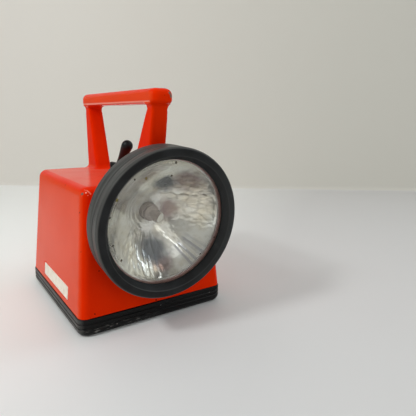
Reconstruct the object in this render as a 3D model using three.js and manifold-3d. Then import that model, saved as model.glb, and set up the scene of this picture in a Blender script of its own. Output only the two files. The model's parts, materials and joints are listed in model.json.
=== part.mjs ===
// Hand lantern with a carrying handle, a round lamp head and a rubber base boot.
// Lengths are in millimetres. The front faces -Y, +Z is up, and the origin is the
// middle of the flat underside that the lantern stands on.

import * as THREE from 'three';
import { mergeVertices } from 'three/addons/utils/BufferGeometryUtils.js';
import Module from 'manifold-3d';

const wasm = await Module();
wasm.setup();

// Driving dimensions of the whole lantern
const overrun = 5;
const seatGap = 0.3;
const runningGap = 0.06;
const seamHeight = 17.1;
const bodyTopHeight = 131.6;
const bodyWidth = 150.6;
const bodyDepth = 166.6;
const bodyTopWidth = 130;
const bodyTopDepth = 147.6;
const bodyTopShift = -0.8;
const bodyCornerRadius = 6.5;
const bodyTopCornerRadius = 8.5;
const bodyTopFillet = 7.5;
const shellWall = 3;
const gripUnderside = 201.6;
const gripHeight = 13;
const gripHalfWidth = 11;
const gripFrontOverhang = 5.4;
const gripRearOverhang = 3.4;
const legTopHalfWidth = 7.7;
const legFootHalfWidth = 8.8;
const ringSideSpace = 6.8;
const ringDepth = 26.8;
const ringCentreZ = 98.8;
const headTiltDeg = 5.1;
const leverLength = 36.5;
const leverLeanDeg = 46;
const pivotY = 3.6;
const pivotRise = 4.8;
const batterySideSpace = 24.8;
const batteryThickness = 47;
const batteryHeight = 70;

// Counts of facets
const headSegments = 56;
const innerSegments = 40;
const stemSegments = 24;
const screwSegments = 10;
const cornerSteps = 4;
const filletSteps = 4;

const radians = THREE.MathUtils.degToRad;
const headTilt = radians(headTiltDeg);
const quarterTurn = Math.PI / 2;
const weldTolerance = 1e-4;

// Finishes
function finish(color, roughness, metalness) {
  return new THREE.MeshStandardMaterial({ color, roughness, metalness });
}
const redPlastic = () => finish(0xd02410, 0.3, 0);
const blackRubber = () => finish(0x26262a, 0.8, 0);
const pinkSilicone = () => finish(0xb98f88, 0.6, 0);
const blackPlastic = () => finish(0x1d1c1f, 0.45, 0);
const clearGlass = () => finish(0xdfe4e2, 0.05, 0);
const brightMetal = () => finish(0xc9c8c2, 0.2, 1);
const brass = () => finish(0xb8974c, 0.35, 1);
const zincSteel = () => finish(0x9b9c9c, 0.4, 1);
const greyPlastic = () => finish(0x5d6164, 0.6, 0);
const brownResin = () => finish(0x4a2f22, 0.5, 0);
const redInsulation = () => finish(0xa81c14, 0.5, 0);
const blackInsulation = () => finish(0x1b1b1b, 0.5, 0);

// Closed meshes: shared corners are merged, empty triangles dropped, faces turned outwards
function closed(geometry) {
  const bare = geometry.clone();
  bare.deleteAttribute('normal');
  bare.deleteAttribute('uv');
  const merged = mergeVertices(bare, weldTolerance);
  const corner = merged.index.array;
  const at = merged.attributes.position;
  const kept = [];
  const a = new THREE.Vector3();
  const b = new THREE.Vector3();
  const c = new THREE.Vector3();
  let volume = 0;
  for (let i = 0; i < corner.length; i += 3) {
    const [p, q, r] = [corner[i], corner[i + 1], corner[i + 2]];
    if (p === q || q === r || r === p) continue;
    kept.push(p, q, r);
    a.fromBufferAttribute(at, p);
    b.fromBufferAttribute(at, q);
    c.fromBufferAttribute(at, r);
    volume += a.dot(b.cross(c));
  }
  merged.setIndex(volume > 0 ? kept : kept.reverse());
  return merged;
}

function solid(geometry) {
  const merged = closed(geometry);
  return new wasm.Manifold(new wasm.Mesh({
    numProp: 3,
    vertProperties: new Float32Array(merged.attributes.position.array),
    triVerts: new Uint32Array(merged.index.array),
  }));
}

function shape(manifold) {
  const mesh = manifold.getMesh();
  const geometry = new THREE.BufferGeometry();
  geometry.setAttribute('position', new THREE.BufferAttribute(mesh.vertProperties, 3));
  geometry.setIndex(new THREE.BufferAttribute(mesh.triVerts, 1));
  return geometry;
}

function piece(name, geometry, material, parent) {
  geometry.computeVertexNormals();
  const mesh = new THREE.Mesh(geometry, material);
  mesh.name = name;
  parent.add(mesh);
  return mesh;
}

// Outlines: a rectangle with rounded corners, counter-clockwise seen from above
function roundedOutline(left, right, front, back, radius, steps = cornerSteps) {
  const corners = [
    [right - radius, back - radius],
    [left + radius, back - radius],
    [left + radius, front + radius],
    [right - radius, front + radius],
  ];
  const outline = [];
  corners.forEach(([x, y], quarter) => {
    for (let i = 0; i <= steps; i += 1) {
      const angle = quarterTurn * (quarter + i / steps);
      outline.push(new THREE.Vector2(x + radius * Math.cos(angle), y + radius * Math.sin(angle)));
    }
  });
  return outline;
}

// A loft joins outlines of equal count at rising heights and closes both ends
function loft(levels) {
  const count = levels[0].outline.length;
  const positions = [];
  const index = [];
  for (const { z, outline } of levels) {
    for (const point of outline) positions.push(point.x, point.y, z);
  }
  for (let level = 0; level + 1 < levels.length; level += 1) {
    for (let i = 0; i < count; i += 1) {
      const j = (i + 1) % count;
      const low = level * count;
      const high = low + count;
      index.push(low + i, low + j, high + j, low + i, high + j, high + i);
    }
  }
  const top = (levels.length - 1) * count;
  for (let i = 1; i + 1 < count; i += 1) {
    index.push(0, i + 1, i, top, top + i, top + i + 1);
  }
  const geometry = new THREE.BufferGeometry();
  geometry.setAttribute('position', new THREE.Float32BufferAttribute(positions, 3));
  geometry.setIndex(index);
  return geometry;
}

// Revolves: the profile is a list of [radius, distance along the axis]
function revolve(profile, segments) {
  return new THREE.LatheGeometry(profile.map(([r, d]) => new THREE.Vector2(r, d)), segments);
}

function ringOf(profile, segments) {
  return revolve([...profile, profile[0]], segments);
}

function upright(geometry) {
  return geometry.rotateX(quarterTurn);
}

function rod(radius, low, high, segments = screwSegments) {
  const cylinder = upright(new THREE.CylinderGeometry(radius, radius, high - low, segments));
  return cylinder.translate(0, 0, (low + high) / 2);
}

function block(x0, x1, y0, y1, z0, z1) {
  const box = new THREE.BoxGeometry(x1 - x0, y1 - y0, z1 - z0);
  return box.translate((x0 + x1) / 2, (y0 + y1) / 2, (z0 + z1) / 2);
}

function arc(centreR, centreD, radius, fromDeg, toDeg, steps) {
  const points = [];
  for (let i = 0; i <= steps; i += 1) {
    const angle = radians(fromDeg + (toDeg - fromDeg) * i / steps);
    points.push([centreR + radius * Math.cos(angle), centreD + radius * Math.sin(angle)]);
  }
  return points;
}

// The shell tapers evenly from the seam above the boot to its flat top
function bodyShare(z) {
  return (z - seamHeight) / (bodyTopHeight - seamHeight);
}
function halfWidthAt(z) {
  return (bodyWidth + (bodyTopWidth - bodyWidth) * bodyShare(z)) / 2;
}
function frontAt(z) {
  return bodyTopShift * bodyShare(z) - (bodyDepth + (bodyTopDepth - bodyDepth) * bodyShare(z)) / 2;
}
function backAt(z) {
  return bodyTopShift * bodyShare(z) + (bodyDepth + (bodyTopDepth - bodyDepth) * bodyShare(z)) / 2;
}
function bodyCornerAt(z) {
  return bodyCornerRadius + (bodyTopCornerRadius - bodyCornerRadius) * bodyShare(z);
}
function bodyOutline(z, inset, radius = bodyCornerAt(z) - inset) {
  const half = halfWidthAt(z) - inset;
  return roundedOutline(-half, half, frontAt(z) + inset, backAt(z) - inset, radius);
}

// The lamp ring is a little narrower than the body, and its rear edge rests on the body's front
const ringFaceWidth = 11.5;
const ringFrontRound = 3;
const ringRearRound = 1.5;
const ringTaper = 1;
const ringSeatGap = 0.03;
const ringRadius = bodyWidth / 2 - ringSideSpace;
const lensOpeningRadius = ringRadius - ringFaceWidth;
const ringRearRadius = ringRadius - ringTaper - ringRearRound;
const ringSeatZ = ringCentreZ - ringRearRadius * Math.cos(headTilt) + ringDepth * Math.sin(headTilt);
const ringReach = ringDepth * Math.cos(headTilt) + ringRearRadius * Math.sin(headTilt);
const ringFrontY = frontAt(ringSeatZ) - ringReach - ringSeatGap;

const lantern = new THREE.Group();
const head = new THREE.Group();
head.position.set(0, ringFrontY, ringCentreZ);
head.rotation.x = headTilt;
lantern.add(head);
head.updateMatrix();

// Boot, base plate and shell stack
const bootFloor = 3;
const plateThickness = 2.7;
const plateLow = bootFloor + seatGap;
const plateTop = plateLow + plateThickness;
const tongueLow = plateTop + seatGap;
const tongueInset = 2.4;
const tongueWall = 2.2;
const tongueCornerRadius = 6.5;
const bootClearance = 0.25;
const ledgeTop = seamHeight + shellWall;

function tongueOutline(z, inset) {
  return bodyOutline(z, tongueInset + inset, tongueCornerRadius - inset);
}

// Corner screws and the bosses that take them
const bossRadius = 5;
const bossHeight = 34;
const bossInsetShare = 0.93;
const screwRadius = 2;
const screwHeadRadius = 4;
const screwHeadThickness = 2;
const screwLength = 16;
const screwClearance = 0.15;
const bossInset = shellWall + bossRadius * bossInsetShare;
const webSkin = 1;
const bossTop = tongueLow + bossHeight;
const bossX = halfWidthAt(bossTop) - bossInset;
const bossFrontY = frontAt(bossTop) + bossInset;
const bossBackY = backAt(bossTop) - bossInset;
const screwPlaces = [
  [-bossX, bossFrontY],
  [bossX, bossFrontY],
  [bossX, bossBackY],
  [-bossX, bossBackY],
];

// Lamp head stack, as depths behind the front plane of the ring
const lipWidth = 4;
const lipDepth = 8;
const lipSlopeDepth = 6.4;
const lensThickness = 3;
const lensCrown = 2.2;
const gasketThickness = 1.8;
const flangeThickness = 1;
const pocketClearance = 0.4;
const lipRadius = lensOpeningRadius + lipWidth;
const lensRadius = lipRadius - pocketClearance;
const lensFront = lipDepth + seatGap;
const gasketFront = lensFront + lensThickness + seatGap;
const flangeFront = gasketFront + gasketThickness + seatGap;
const collarFront = flangeFront + flangeThickness + seatGap;
const collarSeatWidth = 1.2;
const collarRadius = lipRadius + collarSeatWidth;
const collarWall = 3.4;
const collarRear = ringDepth + seatGap;
const coneTipRadius = 14;
const dishDepth = 36;
const dishWall = 1;
const dishRadius = collarRadius - collarWall - collarWall;
const neckRadius = 8.4;
const neckLength = 5;

// Switch stack on the top face
const topFace = bodyTopHeight;
const pivotZ = topFace + pivotRise;
const stemRadius = 6.2;
const stemClearance = 0.3;

// Red body shell with its handle and lamp collar
function shellOuter() {
  const levels = [
    { z: tongueLow, outline: tongueOutline(tongueLow, 0) },
    { z: seamHeight, outline: tongueOutline(seamHeight, 0) },
    { z: seamHeight, outline: bodyOutline(seamHeight, 0) },
  ];
  for (let i = 0; i <= filletSteps; i += 1) {
    const angle = quarterTurn * i / filletSteps;
    const inset = bodyTopFillet * (1 - Math.cos(angle));
    const z = bodyTopHeight - bodyTopFillet * (1 - Math.sin(angle));
    levels.push({ z, outline: bodyOutline(z, inset) });
  }
  return loft(levels);
}

function shellCavity() {
  const tongueCut = tongueInset + tongueWall;
  const slopeTop = ledgeTop + tongueCut - shellWall;
  const ceiling = bodyTopHeight - shellWall;
  const shoulder = bodyTopFillet - shellWall;
  const chamferShare = 0.6;
  const foot = [tongueLow - overrun, ledgeTop].map((z) => ({ z, outline: tongueOutline(z, tongueWall) }));
  const walls = [
    [slopeTop, shellWall],
    [ceiling - shoulder, shellWall],
    [ceiling, shellWall + shoulder * chamferShare],
  ];
  return loft([...foot, ...walls.map(([z, inset]) => ({ z, outline: bodyOutline(z, inset) }))]);
}

// Each screw boss stands in a corner of the shell and is filled out to the walls behind it
function cornerBoss(x, y) {
  const endX = Math.sign(x) * (bodyWidth / 2 + overrun);
  const endY = Math.sign(y) * (bodyDepth / 2 + overrun);
  const web = block(
    Math.min(x, endX),
    Math.max(x, endX),
    Math.min(y, endY),
    Math.max(y, endY),
    tongueLow,
    bossTop,
  );
  const reach = loft([
    { z: tongueLow, outline: tongueOutline(tongueLow, webSkin) },
    { z: ledgeTop, outline: tongueOutline(ledgeTop, webSkin) },
    { z: ledgeTop, outline: bodyOutline(ledgeTop, webSkin) },
    { z: bossTop, outline: bodyOutline(bossTop, webSkin) },
  ]);
  const post = rod(bossRadius, tongueLow, bossTop, stemSegments).translate(x, y, 0);
  return solid(web).intersect(solid(reach)).add(solid(post));
}

// A handle leg leans between two faces and flares where it meets the body and the grip
const legCornerRadius = 5;
const legFootRadius = 4;
const legInnerRadius = 4.5;
const legFootDepth = 12;
const legSideFlareShare = 0.3;

function flare(distance, radius) {
  if (distance >= radius) return 0;
  const reach = radius - Math.max(distance, 0);
  return radius - Math.sqrt(radius * radius - reach * reach);
}

function leg(frontFace, backFace, innerSide) {
  const filletShares = [0, 0.12, 0.4, 1];
  const headShares = [1, 0.4, 0.12, 0];
  const footLevels = filletShares.map((share) => topFace + legFootRadius * share);
  const headLevels = headShares.map((share) => gripUnderside - legInnerRadius * share);
  const sunk = [{ z: topFace - legFootDepth, foot: 0, inner: 0 }];
  const buried = [{ z: gripUnderside + gripHeight / 2, foot: 0, inner: 0 }];
  const open = [...footLevels, ...headLevels].map((z) => ({
    z,
    foot: flare(z - topFace, legFootRadius),
    inner: flare(gripUnderside - z, legInnerRadius),
  }));
  return loft([...sunk, ...open, ...buried].map(({ z, foot, inner }) => {
    const half = slant(legFootHalfWidth, legTopHalfWidth)(z) + foot + inner * legSideFlareShare;
    const front = frontFace(z) - (innerSide < 0 ? inner + foot : 0);
    const back = backFace(z) + (innerSide > 0 ? inner + foot : 0);
    return { z, outline: roundedOutline(-half, half, front, back, legCornerRadius) };
  }));
}

// Places of the four leg faces at the top face and at the grip: the front leg stands close behind
// the lamp ring and reaches back over the top face, and the back leg stands at its rear edge
const frontLegRingSpace = 31;
const frontLegLean = 11.1;
const frontLegFootReach = 30.6;
const frontLegHeadDepth = 10.6;
const backLegEdgeSpace = 0.1;
const backLegLean = 2.1;
const backLegFootDepth = 31.7;
const backLegHeadDepth = 12.8;
const frontLegOuterFoot = ringFrontY + frontLegRingSpace;
const frontLegOuterHead = frontLegOuterFoot - frontLegLean;
const frontLegInnerFoot = frontAt(topFace) + frontLegFootReach;
const frontLegInnerHead = frontLegOuterHead + frontLegHeadDepth;
const backLegOuterFoot = backAt(topFace) - backLegEdgeSpace;
const backLegOuterHead = backLegOuterFoot + backLegLean;
const backLegInnerFoot = backLegOuterFoot - backLegFootDepth;
const backLegInnerHead = backLegOuterHead - backLegHeadDepth;

function slant(foot, headPlace) {
  return (z) => foot + (headPlace - foot) * (z - topFace) / (gripUnderside - topFace);
}

// The grip is a bar with full, rounded edges that stands proud of both legs
const gripLowRound = 4.6;
const gripTopRound = 6.2;
const gripPlanRadius = 8;
const gripLowInset = 3.4;
const gripTopInset = 6.4;

function grip() {
  const front = frontLegOuterHead - gripFrontOverhang;
  const back = backLegOuterHead + gripRearOverhang;
  const levels = [];
  for (let i = 0; i <= filletSteps; i += 1) {
    const angle = quarterTurn * i / filletSteps;
    const rise = gripLowRound * (1 - Math.cos(angle));
    levels.push([gripUnderside + rise, gripLowInset * (1 - Math.sin(angle))]);
  }
  for (let i = 0; i <= filletSteps; i += 1) {
    const angle = quarterTurn * i / filletSteps;
    const fall = gripTopRound * (1 - Math.sin(angle));
    levels.push([gripUnderside + gripHeight - fall, gripTopInset * (1 - Math.cos(angle))]);
  }
  return loft(levels.map(([z, inset]) => {
    const half = gripHalfWidth - inset;
    const radius = gripPlanRadius - inset;
    return { z, outline: roundedOutline(-half, half, front + inset, back - inset, radius) };
  }));
}

// The collar carries the lamp head and tapers back into the body
function collarOuter() {
  const taper = collarRadius - coneTipRadius;
  return revolve([
    [0, collarFront],
    [collarRadius, collarFront],
    [collarRadius, collarRear],
    [coneTipRadius, collarRear + taper],
    [0, collarRear + taper],
  ], headSegments);
}

function collarBore() {
  const boreRadius = collarRadius - collarWall;
  const taper = boreRadius - coneTipRadius;
  const start = collarRear - (Math.SQRT2 - 1) * collarWall;
  return revolve([
    [0, collarFront - overrun],
    [boreRadius, collarFront - overrun],
    [boreRadius, start],
    [coneTipRadius, start + taper],
    [0, start + taper],
  ], headSegments);
}

function bodyShell() {
  const frontLeg = leg(
    slant(frontLegOuterFoot, frontLegOuterHead),
    slant(frontLegInnerFoot, frontLegInnerHead),
    1,
  );
  const backLeg = leg(
    slant(backLegInnerFoot, backLegInnerHead),
    slant(backLegOuterFoot, backLegOuterHead),
    -1,
  );
  let shell = solid(shellOuter())
    .add(solid(frontLeg))
    .add(solid(backLeg))
    .add(solid(grip()))
    .add(solid(collarOuter().applyMatrix4(head.matrix)))
    .subtract(solid(shellCavity()));
  for (const [x, y] of screwPlaces) shell = shell.add(cornerBoss(x, y));
  for (const [x, y] of screwPlaces) {
    const pilot = rod(screwRadius + screwClearance, tongueLow - overrun, tongueLow + screwLength);
    shell = shell.subtract(solid(pilot.translate(x, y, 0)));
  }
  const boreLow = topFace - shellWall - overrun;
  const bore = rod(stemRadius + stemClearance, boreLow, topFace + overrun, stemSegments);
  return shell
    .subtract(solid(collarBore().applyMatrix4(head.matrix)))
    .subtract(solid(bore.translate(0, pivotY, 0)));
}

piece('body_shell', shape(bodyShell()), redPlastic(), lantern);

// Rubber boot that grips the foot of the shell and forms the floor
const bootProud = 0.9;
const bootFootInset = 4.4;
const bootFootRadius = 6;
const bootGrooveDepth = 0.7;
const bootGrooveHalf = 0.9;
const bootGrooveShares = [0.47, 0.72];
const bootTopRound = 0.8;
const bootTop = seamHeight - seatGap;
const bootCornerRadius = 8;
const contactX = 24;
const contactY = -48;
const contactHoleRadius = 7.5;
const screwHoleRadius = 5.5;

function bootOuter() {
  const levels = [];
  const add = (z, inset) => {
    levels.push({ z, outline: bodyOutline(seamHeight, inset, bootCornerRadius - inset) });
  };
  for (let i = 0; i <= filletSteps; i += 1) {
    const angle = quarterTurn * i / filletSteps;
    const z = bootFootRadius * (1 - Math.cos(angle));
    add(z, bootFootInset * (1 - Math.sin(angle)) - bootProud);
  }
  for (const share of bootGrooveShares) {
    const z = bootTop * share;
    add(z - bootGrooveHalf, -bootProud);
    add(z, bootGrooveDepth - bootProud);
    add(z + bootGrooveHalf, -bootProud);
  }
  add(bootTop - bootTopRound, -bootProud);
  add(bootTop, bootTopRound - bootProud);
  return loft(levels);
}

function bootPocket() {
  const levels = [bootFloor, bootTop + overrun];
  return loft(levels.map((z) => ({ z, outline: tongueOutline(z, -bootClearance) })));
}

function baseBoot() {
  let boot = solid(bootOuter()).subtract(solid(bootPocket()));
  for (const [x, y] of screwPlaces) {
    const hole = rod(screwHoleRadius, -overrun, bootFloor + overrun, screwSegments);
    boot = boot.subtract(solid(hole.translate(x, y, 0)));
  }
  for (const side of [-1, 1]) {
    const hole = rod(contactHoleRadius, -overrun, bootFloor + overrun, stemSegments);
    boot = boot.subtract(solid(hole.translate(side * contactX, contactY, 0)));
  }
  return boot;
}

piece('base_boot', shape(baseBoot()), blackRubber(), lantern);

// Base plate that closes the shell and carries the batteries
const contactStudRadius = 2.5;
const contactStudClearance = 0.15;
const strapWidth = 26;
const strapThickness = 1.2;
const strapFoot = 11;
const strapScrewRadius = 1.5;
const batteryGap = 0.3;
const padThickness = 1.7;
const batteryLength = bodyWidth - batterySideSpace - batterySideSpace;
const padLow = plateTop + seatGap;
const batteryLow = padLow + padThickness + seatGap;
const batteryTop = batteryLow + batteryHeight;
const rearBatteryBack = Math.min(backAt(batteryLow), backAt(batteryTop)) - shellWall - seatGap;
const rearBatteryFront = rearBatteryBack - batteryThickness;
const frontBatteryBack = rearBatteryFront - batteryGap;
const frontBatteryFront = frontBatteryBack - batteryThickness;
const strapY = frontBatteryBack + batteryGap / 2;
const strapInner = batteryLength / 2 + seatGap;
const strapOuter = strapInner + strapThickness;
const strapScrewX = strapOuter + strapFoot / 2;

function basePlate() {
  const outline = tongueOutline(tongueLow, bootClearance);
  let plate = solid(loft([plateLow, plateTop].map((z) => ({ z, outline }))));
  const holes = [];
  for (const [x, y] of screwPlaces) holes.push([x, y, screwRadius + screwClearance]);
  for (const side of [-1, 1]) {
    holes.push([side * contactX, contactY, contactStudRadius + contactStudClearance]);
    holes.push([side * strapScrewX, strapY, strapScrewRadius + screwClearance]);
  }
  for (const [x, y, radius] of holes) {
    const hole = rod(radius, plateLow - overrun, plateTop + overrun, screwSegments);
    plate = plate.subtract(solid(hole.translate(x, y, 0)));
  }
  return plate;
}

piece('base_plate', shape(basePlate()), blackPlastic(), lantern);

// Pan-head screws from below through the plate into the bosses
function panScrew(headRadius, headThickness, shankRadius, length) {
  const rimShare = 0.45;
  const topShare = 0.6;
  return upright(revolve([
    [0, -headThickness],
    [headRadius * topShare, -headThickness],
    [headRadius, -headThickness * rimShare],
    [headRadius, 0],
    [shankRadius, 0],
    [shankRadius, length],
    [0, length],
  ], screwSegments));
}

const screwCornerNames = ['front_left', 'front_right', 'rear_right', 'rear_left'];
const screwSeat = plateLow - seatGap;
screwPlaces.forEach(([x, y], i) => {
  const screw = closed(panScrew(screwHeadRadius, screwHeadThickness, screwRadius, screwLength));
  piece(`base_screw_${screwCornerNames[i]}`, screw, zincSteel(), lantern)
    .position.set(x, y, screwSeat);
});

// Charging contacts: a domed stud through the plate and a hexagon nut above it
const studHeadRadius = 6;
const studHeadThickness = 2.2;
const studLength = 9;
const nutThickness = 2.6;
const nutRadius = 4.6;
const nutSides = 6;

function hexNut(radius, thickness, holeRadius) {
  const outline = new THREE.Shape();
  for (let i = 0; i < nutSides; i += 1) {
    const angle = 2 * Math.PI * i / nutSides;
    const point = [radius * Math.cos(angle), radius * Math.sin(angle)];
    if (i === 0) outline.moveTo(...point);
    else outline.lineTo(...point);
  }
  outline.closePath();
  const hole = new THREE.Path();
  hole.absarc(0, 0, holeRadius, 0, 2 * Math.PI, true);
  outline.holes.push(hole);
  const settings = { depth: thickness, bevelEnabled: false, curveSegments: screwSegments };
  return new THREE.ExtrudeGeometry(outline, settings);
}

const contactNames = { '-1': 'minus', 1: 'plus' };
for (const side of [-1, 1]) {
  const stud = panScrew(studHeadRadius, studHeadThickness, contactStudRadius, studLength);
  piece(`charge_contact_${contactNames[side]}`, closed(stud), brass(), lantern)
    .position.set(side * contactX, contactY, screwSeat);
  const nut = closed(hexNut(nutRadius, nutThickness, contactStudRadius + contactStudClearance));
  piece(`charge_nut_${contactNames[side]}`, nut, zincSteel(), lantern)
    .position.set(side * contactX, contactY, plateTop + seatGap);
}

// Battery pad, two block batteries and their terminals
const padMargin = 1;
piece(
  'battery_pad',
  block(
    -batteryLength / 2 + padMargin,
    batteryLength / 2 - padMargin,
    frontBatteryFront + padMargin,
    rearBatteryBack - padMargin,
    padLow,
    padLow + padThickness,
  ),
  blackRubber(),
  lantern,
);

const batteryEdge = 2;
const lidShare = 0.08;
function battery(front, back) {
  const half = batteryLength / 2;
  const lid = batteryLength * lidShare;
  const levels = [
    { x: -half, inset: batteryEdge / 2 },
    { x: -half + batteryEdge / 2, inset: 0 },
    { x: half - lid, inset: 0 },
    { x: half - lid, inset: batteryEdge / 4 },
    { x: half, inset: batteryEdge / 4 },
  ];
  const geometry = loft(levels.map(({ x, inset }) => ({
    z: x,
    outline: roundedOutline(
      -batteryTop + inset,
      -batteryLow - inset,
      front + inset,
      back - inset,
      batteryEdge - inset,
      1,
    ),
  })));
  return geometry.rotateY(quarterTurn);
}

piece('battery_front', closed(battery(frontBatteryFront, frontBatteryBack)), greyPlastic(), lantern);
piece('battery_rear', closed(battery(rearBatteryFront, rearBatteryBack)), greyPlastic(), lantern);

const tabLength = 5.5;
const tabThickness = 0.8;
const tabHeight = 6.3;
const tabInset = 9;
const plusHeightShare = 0.76;
const minusHeightShare = 0.24;
const tabStart = batteryLength / 2 + seatGap;
const frontTabY = frontBatteryFront + tabInset;
const rearTabY = rearBatteryBack - tabInset;
const tabZ = {
  plus: batteryLow + batteryHeight * plusHeightShare,
  minus: batteryLow + batteryHeight * minusHeightShare,
};
const linkThickness = 1;
const linkHeight = 5;
for (const pole of ['plus', 'minus']) {
  const z = tabZ[pole];
  for (const [end, y] of [['front', frontTabY], ['rear', rearTabY]]) {
    const tab = block(
      tabStart,
      tabStart + tabLength,
      y - tabThickness / 2,
      y + tabThickness / 2,
      z - tabHeight / 2,
      z + tabHeight / 2,
    );
    piece(`battery_tab_${end}_${pole}`, tab, brass(), lantern);
  }
  const bar = block(
    tabStart + tabLength + seatGap,
    tabStart + tabLength + seatGap + linkThickness,
    frontTabY - linkHeight / 2,
    rearTabY + linkHeight / 2,
    z - linkHeight / 2,
    z + linkHeight / 2,
  );
  piece(`battery_link_${pole}`, bar, brass(), lantern);
}

// Steel strap over both batteries, with a screw in each foot
function strap() {
  const footLow = plateTop + seatGap;
  const footTop = footLow + strapThickness;
  const crossLow = batteryTop + seatGap;
  const crossTop = crossLow + strapThickness;
  const end = strapOuter + strapFoot;
  const outline = new THREE.Shape([
    new THREE.Vector2(-end, footLow),
    new THREE.Vector2(-strapInner, footLow),
    new THREE.Vector2(-strapInner, crossLow),
    new THREE.Vector2(strapInner, crossLow),
    new THREE.Vector2(strapInner, footLow),
    new THREE.Vector2(end, footLow),
    new THREE.Vector2(end, footTop),
    new THREE.Vector2(strapOuter, footTop),
    new THREE.Vector2(strapOuter, crossTop),
    new THREE.Vector2(-strapOuter, crossTop),
    new THREE.Vector2(-strapOuter, footTop),
    new THREE.Vector2(-end, footTop),
  ]);
  const strip = upright(new THREE.ExtrudeGeometry(outline, { depth: strapWidth, bevelEnabled: false }));
  let bent = solid(strip.translate(0, strapY + strapWidth / 2, 0));
  for (const side of [-1, 1]) {
    const hole = rod(strapScrewRadius + screwClearance, footLow - overrun, footTop + overrun);
    bent = bent.subtract(solid(hole.translate(side * strapScrewX, strapY, 0)));
  }
  return bent;
}

piece('battery_strap', shape(strap()), zincSteel(), lantern);

const strapScrewHead = 2.8;
const strapScrewThickness = 1.6;
const strapScrewLength = 4;
const sideNames = { '-1': 'left', 1: 'right' };
for (const side of [-1, 1]) {
  const screw = panScrew(strapScrewHead, strapScrewThickness, strapScrewRadius, strapScrewLength);
  const turned = closed(screw.rotateX(Math.PI));
  piece(`strap_screw_${sideNames[side]}`, turned, zincSteel(), lantern)
    .position.set(side * strapScrewX, strapY, plateTop + strapThickness + seatGap + seatGap);
}

// Lamp ring: a rubber bezel with a sloped lip, a groove round its wall and a bore over the collar
const ringGrooveDepth = 1;
const ringGrooveHalf = 1;
const ringGrooveShare = 0.44;
const ringBoreRadius = collarRadius + seatGap;

function lampRing() {
  const grooveAt = ringDepth * ringGrooveShare;
  const wallAt = (d) => ringRadius - ringTaper * d / ringDepth;
  const profile = [
    [lensOpeningRadius, lipDepth],
    [lensOpeningRadius, lipSlopeDepth],
    [lipRadius, 0],
    ...arc(ringRadius - ringFrontRound, ringFrontRound, ringFrontRound, -90, 0, filletSteps),
    [wallAt(grooveAt - ringGrooveHalf), grooveAt - ringGrooveHalf],
    [wallAt(grooveAt) - ringGrooveDepth, grooveAt],
    [wallAt(grooveAt + ringGrooveHalf), grooveAt + ringGrooveHalf],
    [wallAt(ringDepth), ringDepth - ringRearRound],
    [wallAt(ringDepth) - ringRearRound, ringDepth],
    [ringBoreRadius, ringDepth],
    [ringBoreRadius, collarFront],
    [lipRadius, collarFront],
    [lipRadius, lipDepth],
  ];
  return ringOf(profile, headSegments);
}

piece('lamp_ring', closed(lampRing()), blackRubber(), head);

// Clear front glass with a slight crown
const crownSteps = 4;
function frontGlass() {
  const crown = [];
  const crownRadius = lensOpeningRadius - seatGap;
  for (let i = 0; i <= crownSteps; i += 1) {
    const share = i / crownSteps;
    crown.push([crownRadius * share, lensFront - lensCrown * (1 - share * share)]);
  }
  return revolve([
    ...crown,
    [lensRadius, lensFront],
    [lensRadius, lensFront + lensThickness],
    [0, lensFront + lensThickness],
  ], headSegments);
}

piece('front_glass', closed(frontGlass()), clearGlass(), head);

// Silicone gasket behind the glass
const gasketWidth = 4;
piece('glass_gasket', closed(ringOf([
  [lensRadius - gasketWidth, gasketFront],
  [lensRadius, gasketFront],
  [lensRadius, gasketFront + gasketThickness],
  [lensRadius - gasketWidth, gasketFront + gasketThickness],
], innerSegments)), pinkSilicone(), head);

// Dished reflector: a parabola with a rolled flange and a neck for the bulb holder
const dishSteps = 6;
const dishVertex = flangeFront + dishDepth;
function dishAt(radius) {
  return dishVertex - dishDepth * (radius * radius) / (dishRadius * dishRadius);
}

function reflector() {
  const inner = [];
  const outer = [];
  for (let i = 0; i <= dishSteps; i += 1) {
    const radius = dishRadius + (neckRadius - dishRadius) * i / dishSteps;
    inner.push([radius, dishAt(radius)]);
    outer.unshift([radius + dishWall, dishAt(radius) + dishWall]);
  }
  const neckRear = dishVertex + neckLength;
  return ringOf([
    [lensRadius, flangeFront],
    ...inner,
    [neckRadius, neckRear],
    [neckRadius + dishWall, neckRear],
    ...outer,
    [lensRadius, flangeFront + flangeThickness],
  ], innerSegments);
}

piece('reflector', closed(reflector()), brightMetal(), head);

// Bulb holder through the neck, with its flange against the neck's rear rim
const holderRadius = 8;
const holderFlangeRadius = 12.5;
const holderFlangeThickness = 3;
const holderBodyRadius = 10;
const holderBodyLength = 12;
const holderReach = 7;
const capRadius = 4.6;
const capClearance = 0.2;
const capLength = 12;
const capFlangeRadius = 6.7;
const capFlangeThickness = 1.2;
const neckRear = dishVertex + neckLength;
const holderFlangeFront = neckRear + seatGap;
const holderFront = neckRear - neckLength - holderReach;
const holderRear = holderFlangeFront + holderFlangeThickness + holderBodyLength;
const boreEnd = holderFront + capLength + seatGap;

piece('bulb_holder', closed(revolve([
  [0, boreEnd],
  [capRadius + capClearance, boreEnd],
  [capRadius + capClearance, holderFront],
  [holderRadius, holderFront],
  [holderRadius, holderFlangeFront],
  [holderFlangeRadius, holderFlangeFront],
  [holderFlangeRadius, holderFlangeFront + holderFlangeThickness],
  [holderBodyRadius, holderFlangeFront + holderFlangeThickness],
  [holderBodyRadius, holderRear],
  [0, holderRear],
], stemSegments)), blackPlastic(), head);

// Flanged bulb cap and its glass envelope
const capFront = holderFront - seatGap - capFlangeThickness;
const bulbRadius = 5.6;
const bulbLength = 16;
const bulbSteps = 5;
piece('bulb_cap', closed(revolve([
  [0, capFront],
  [capFlangeRadius, capFront],
  [capFlangeRadius, capFront + capFlangeThickness],
  [capRadius, capFront + capFlangeThickness],
  [capRadius, holderFront + capLength],
  [0, holderFront + capLength],
], stemSegments)), brass(), head);

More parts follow.
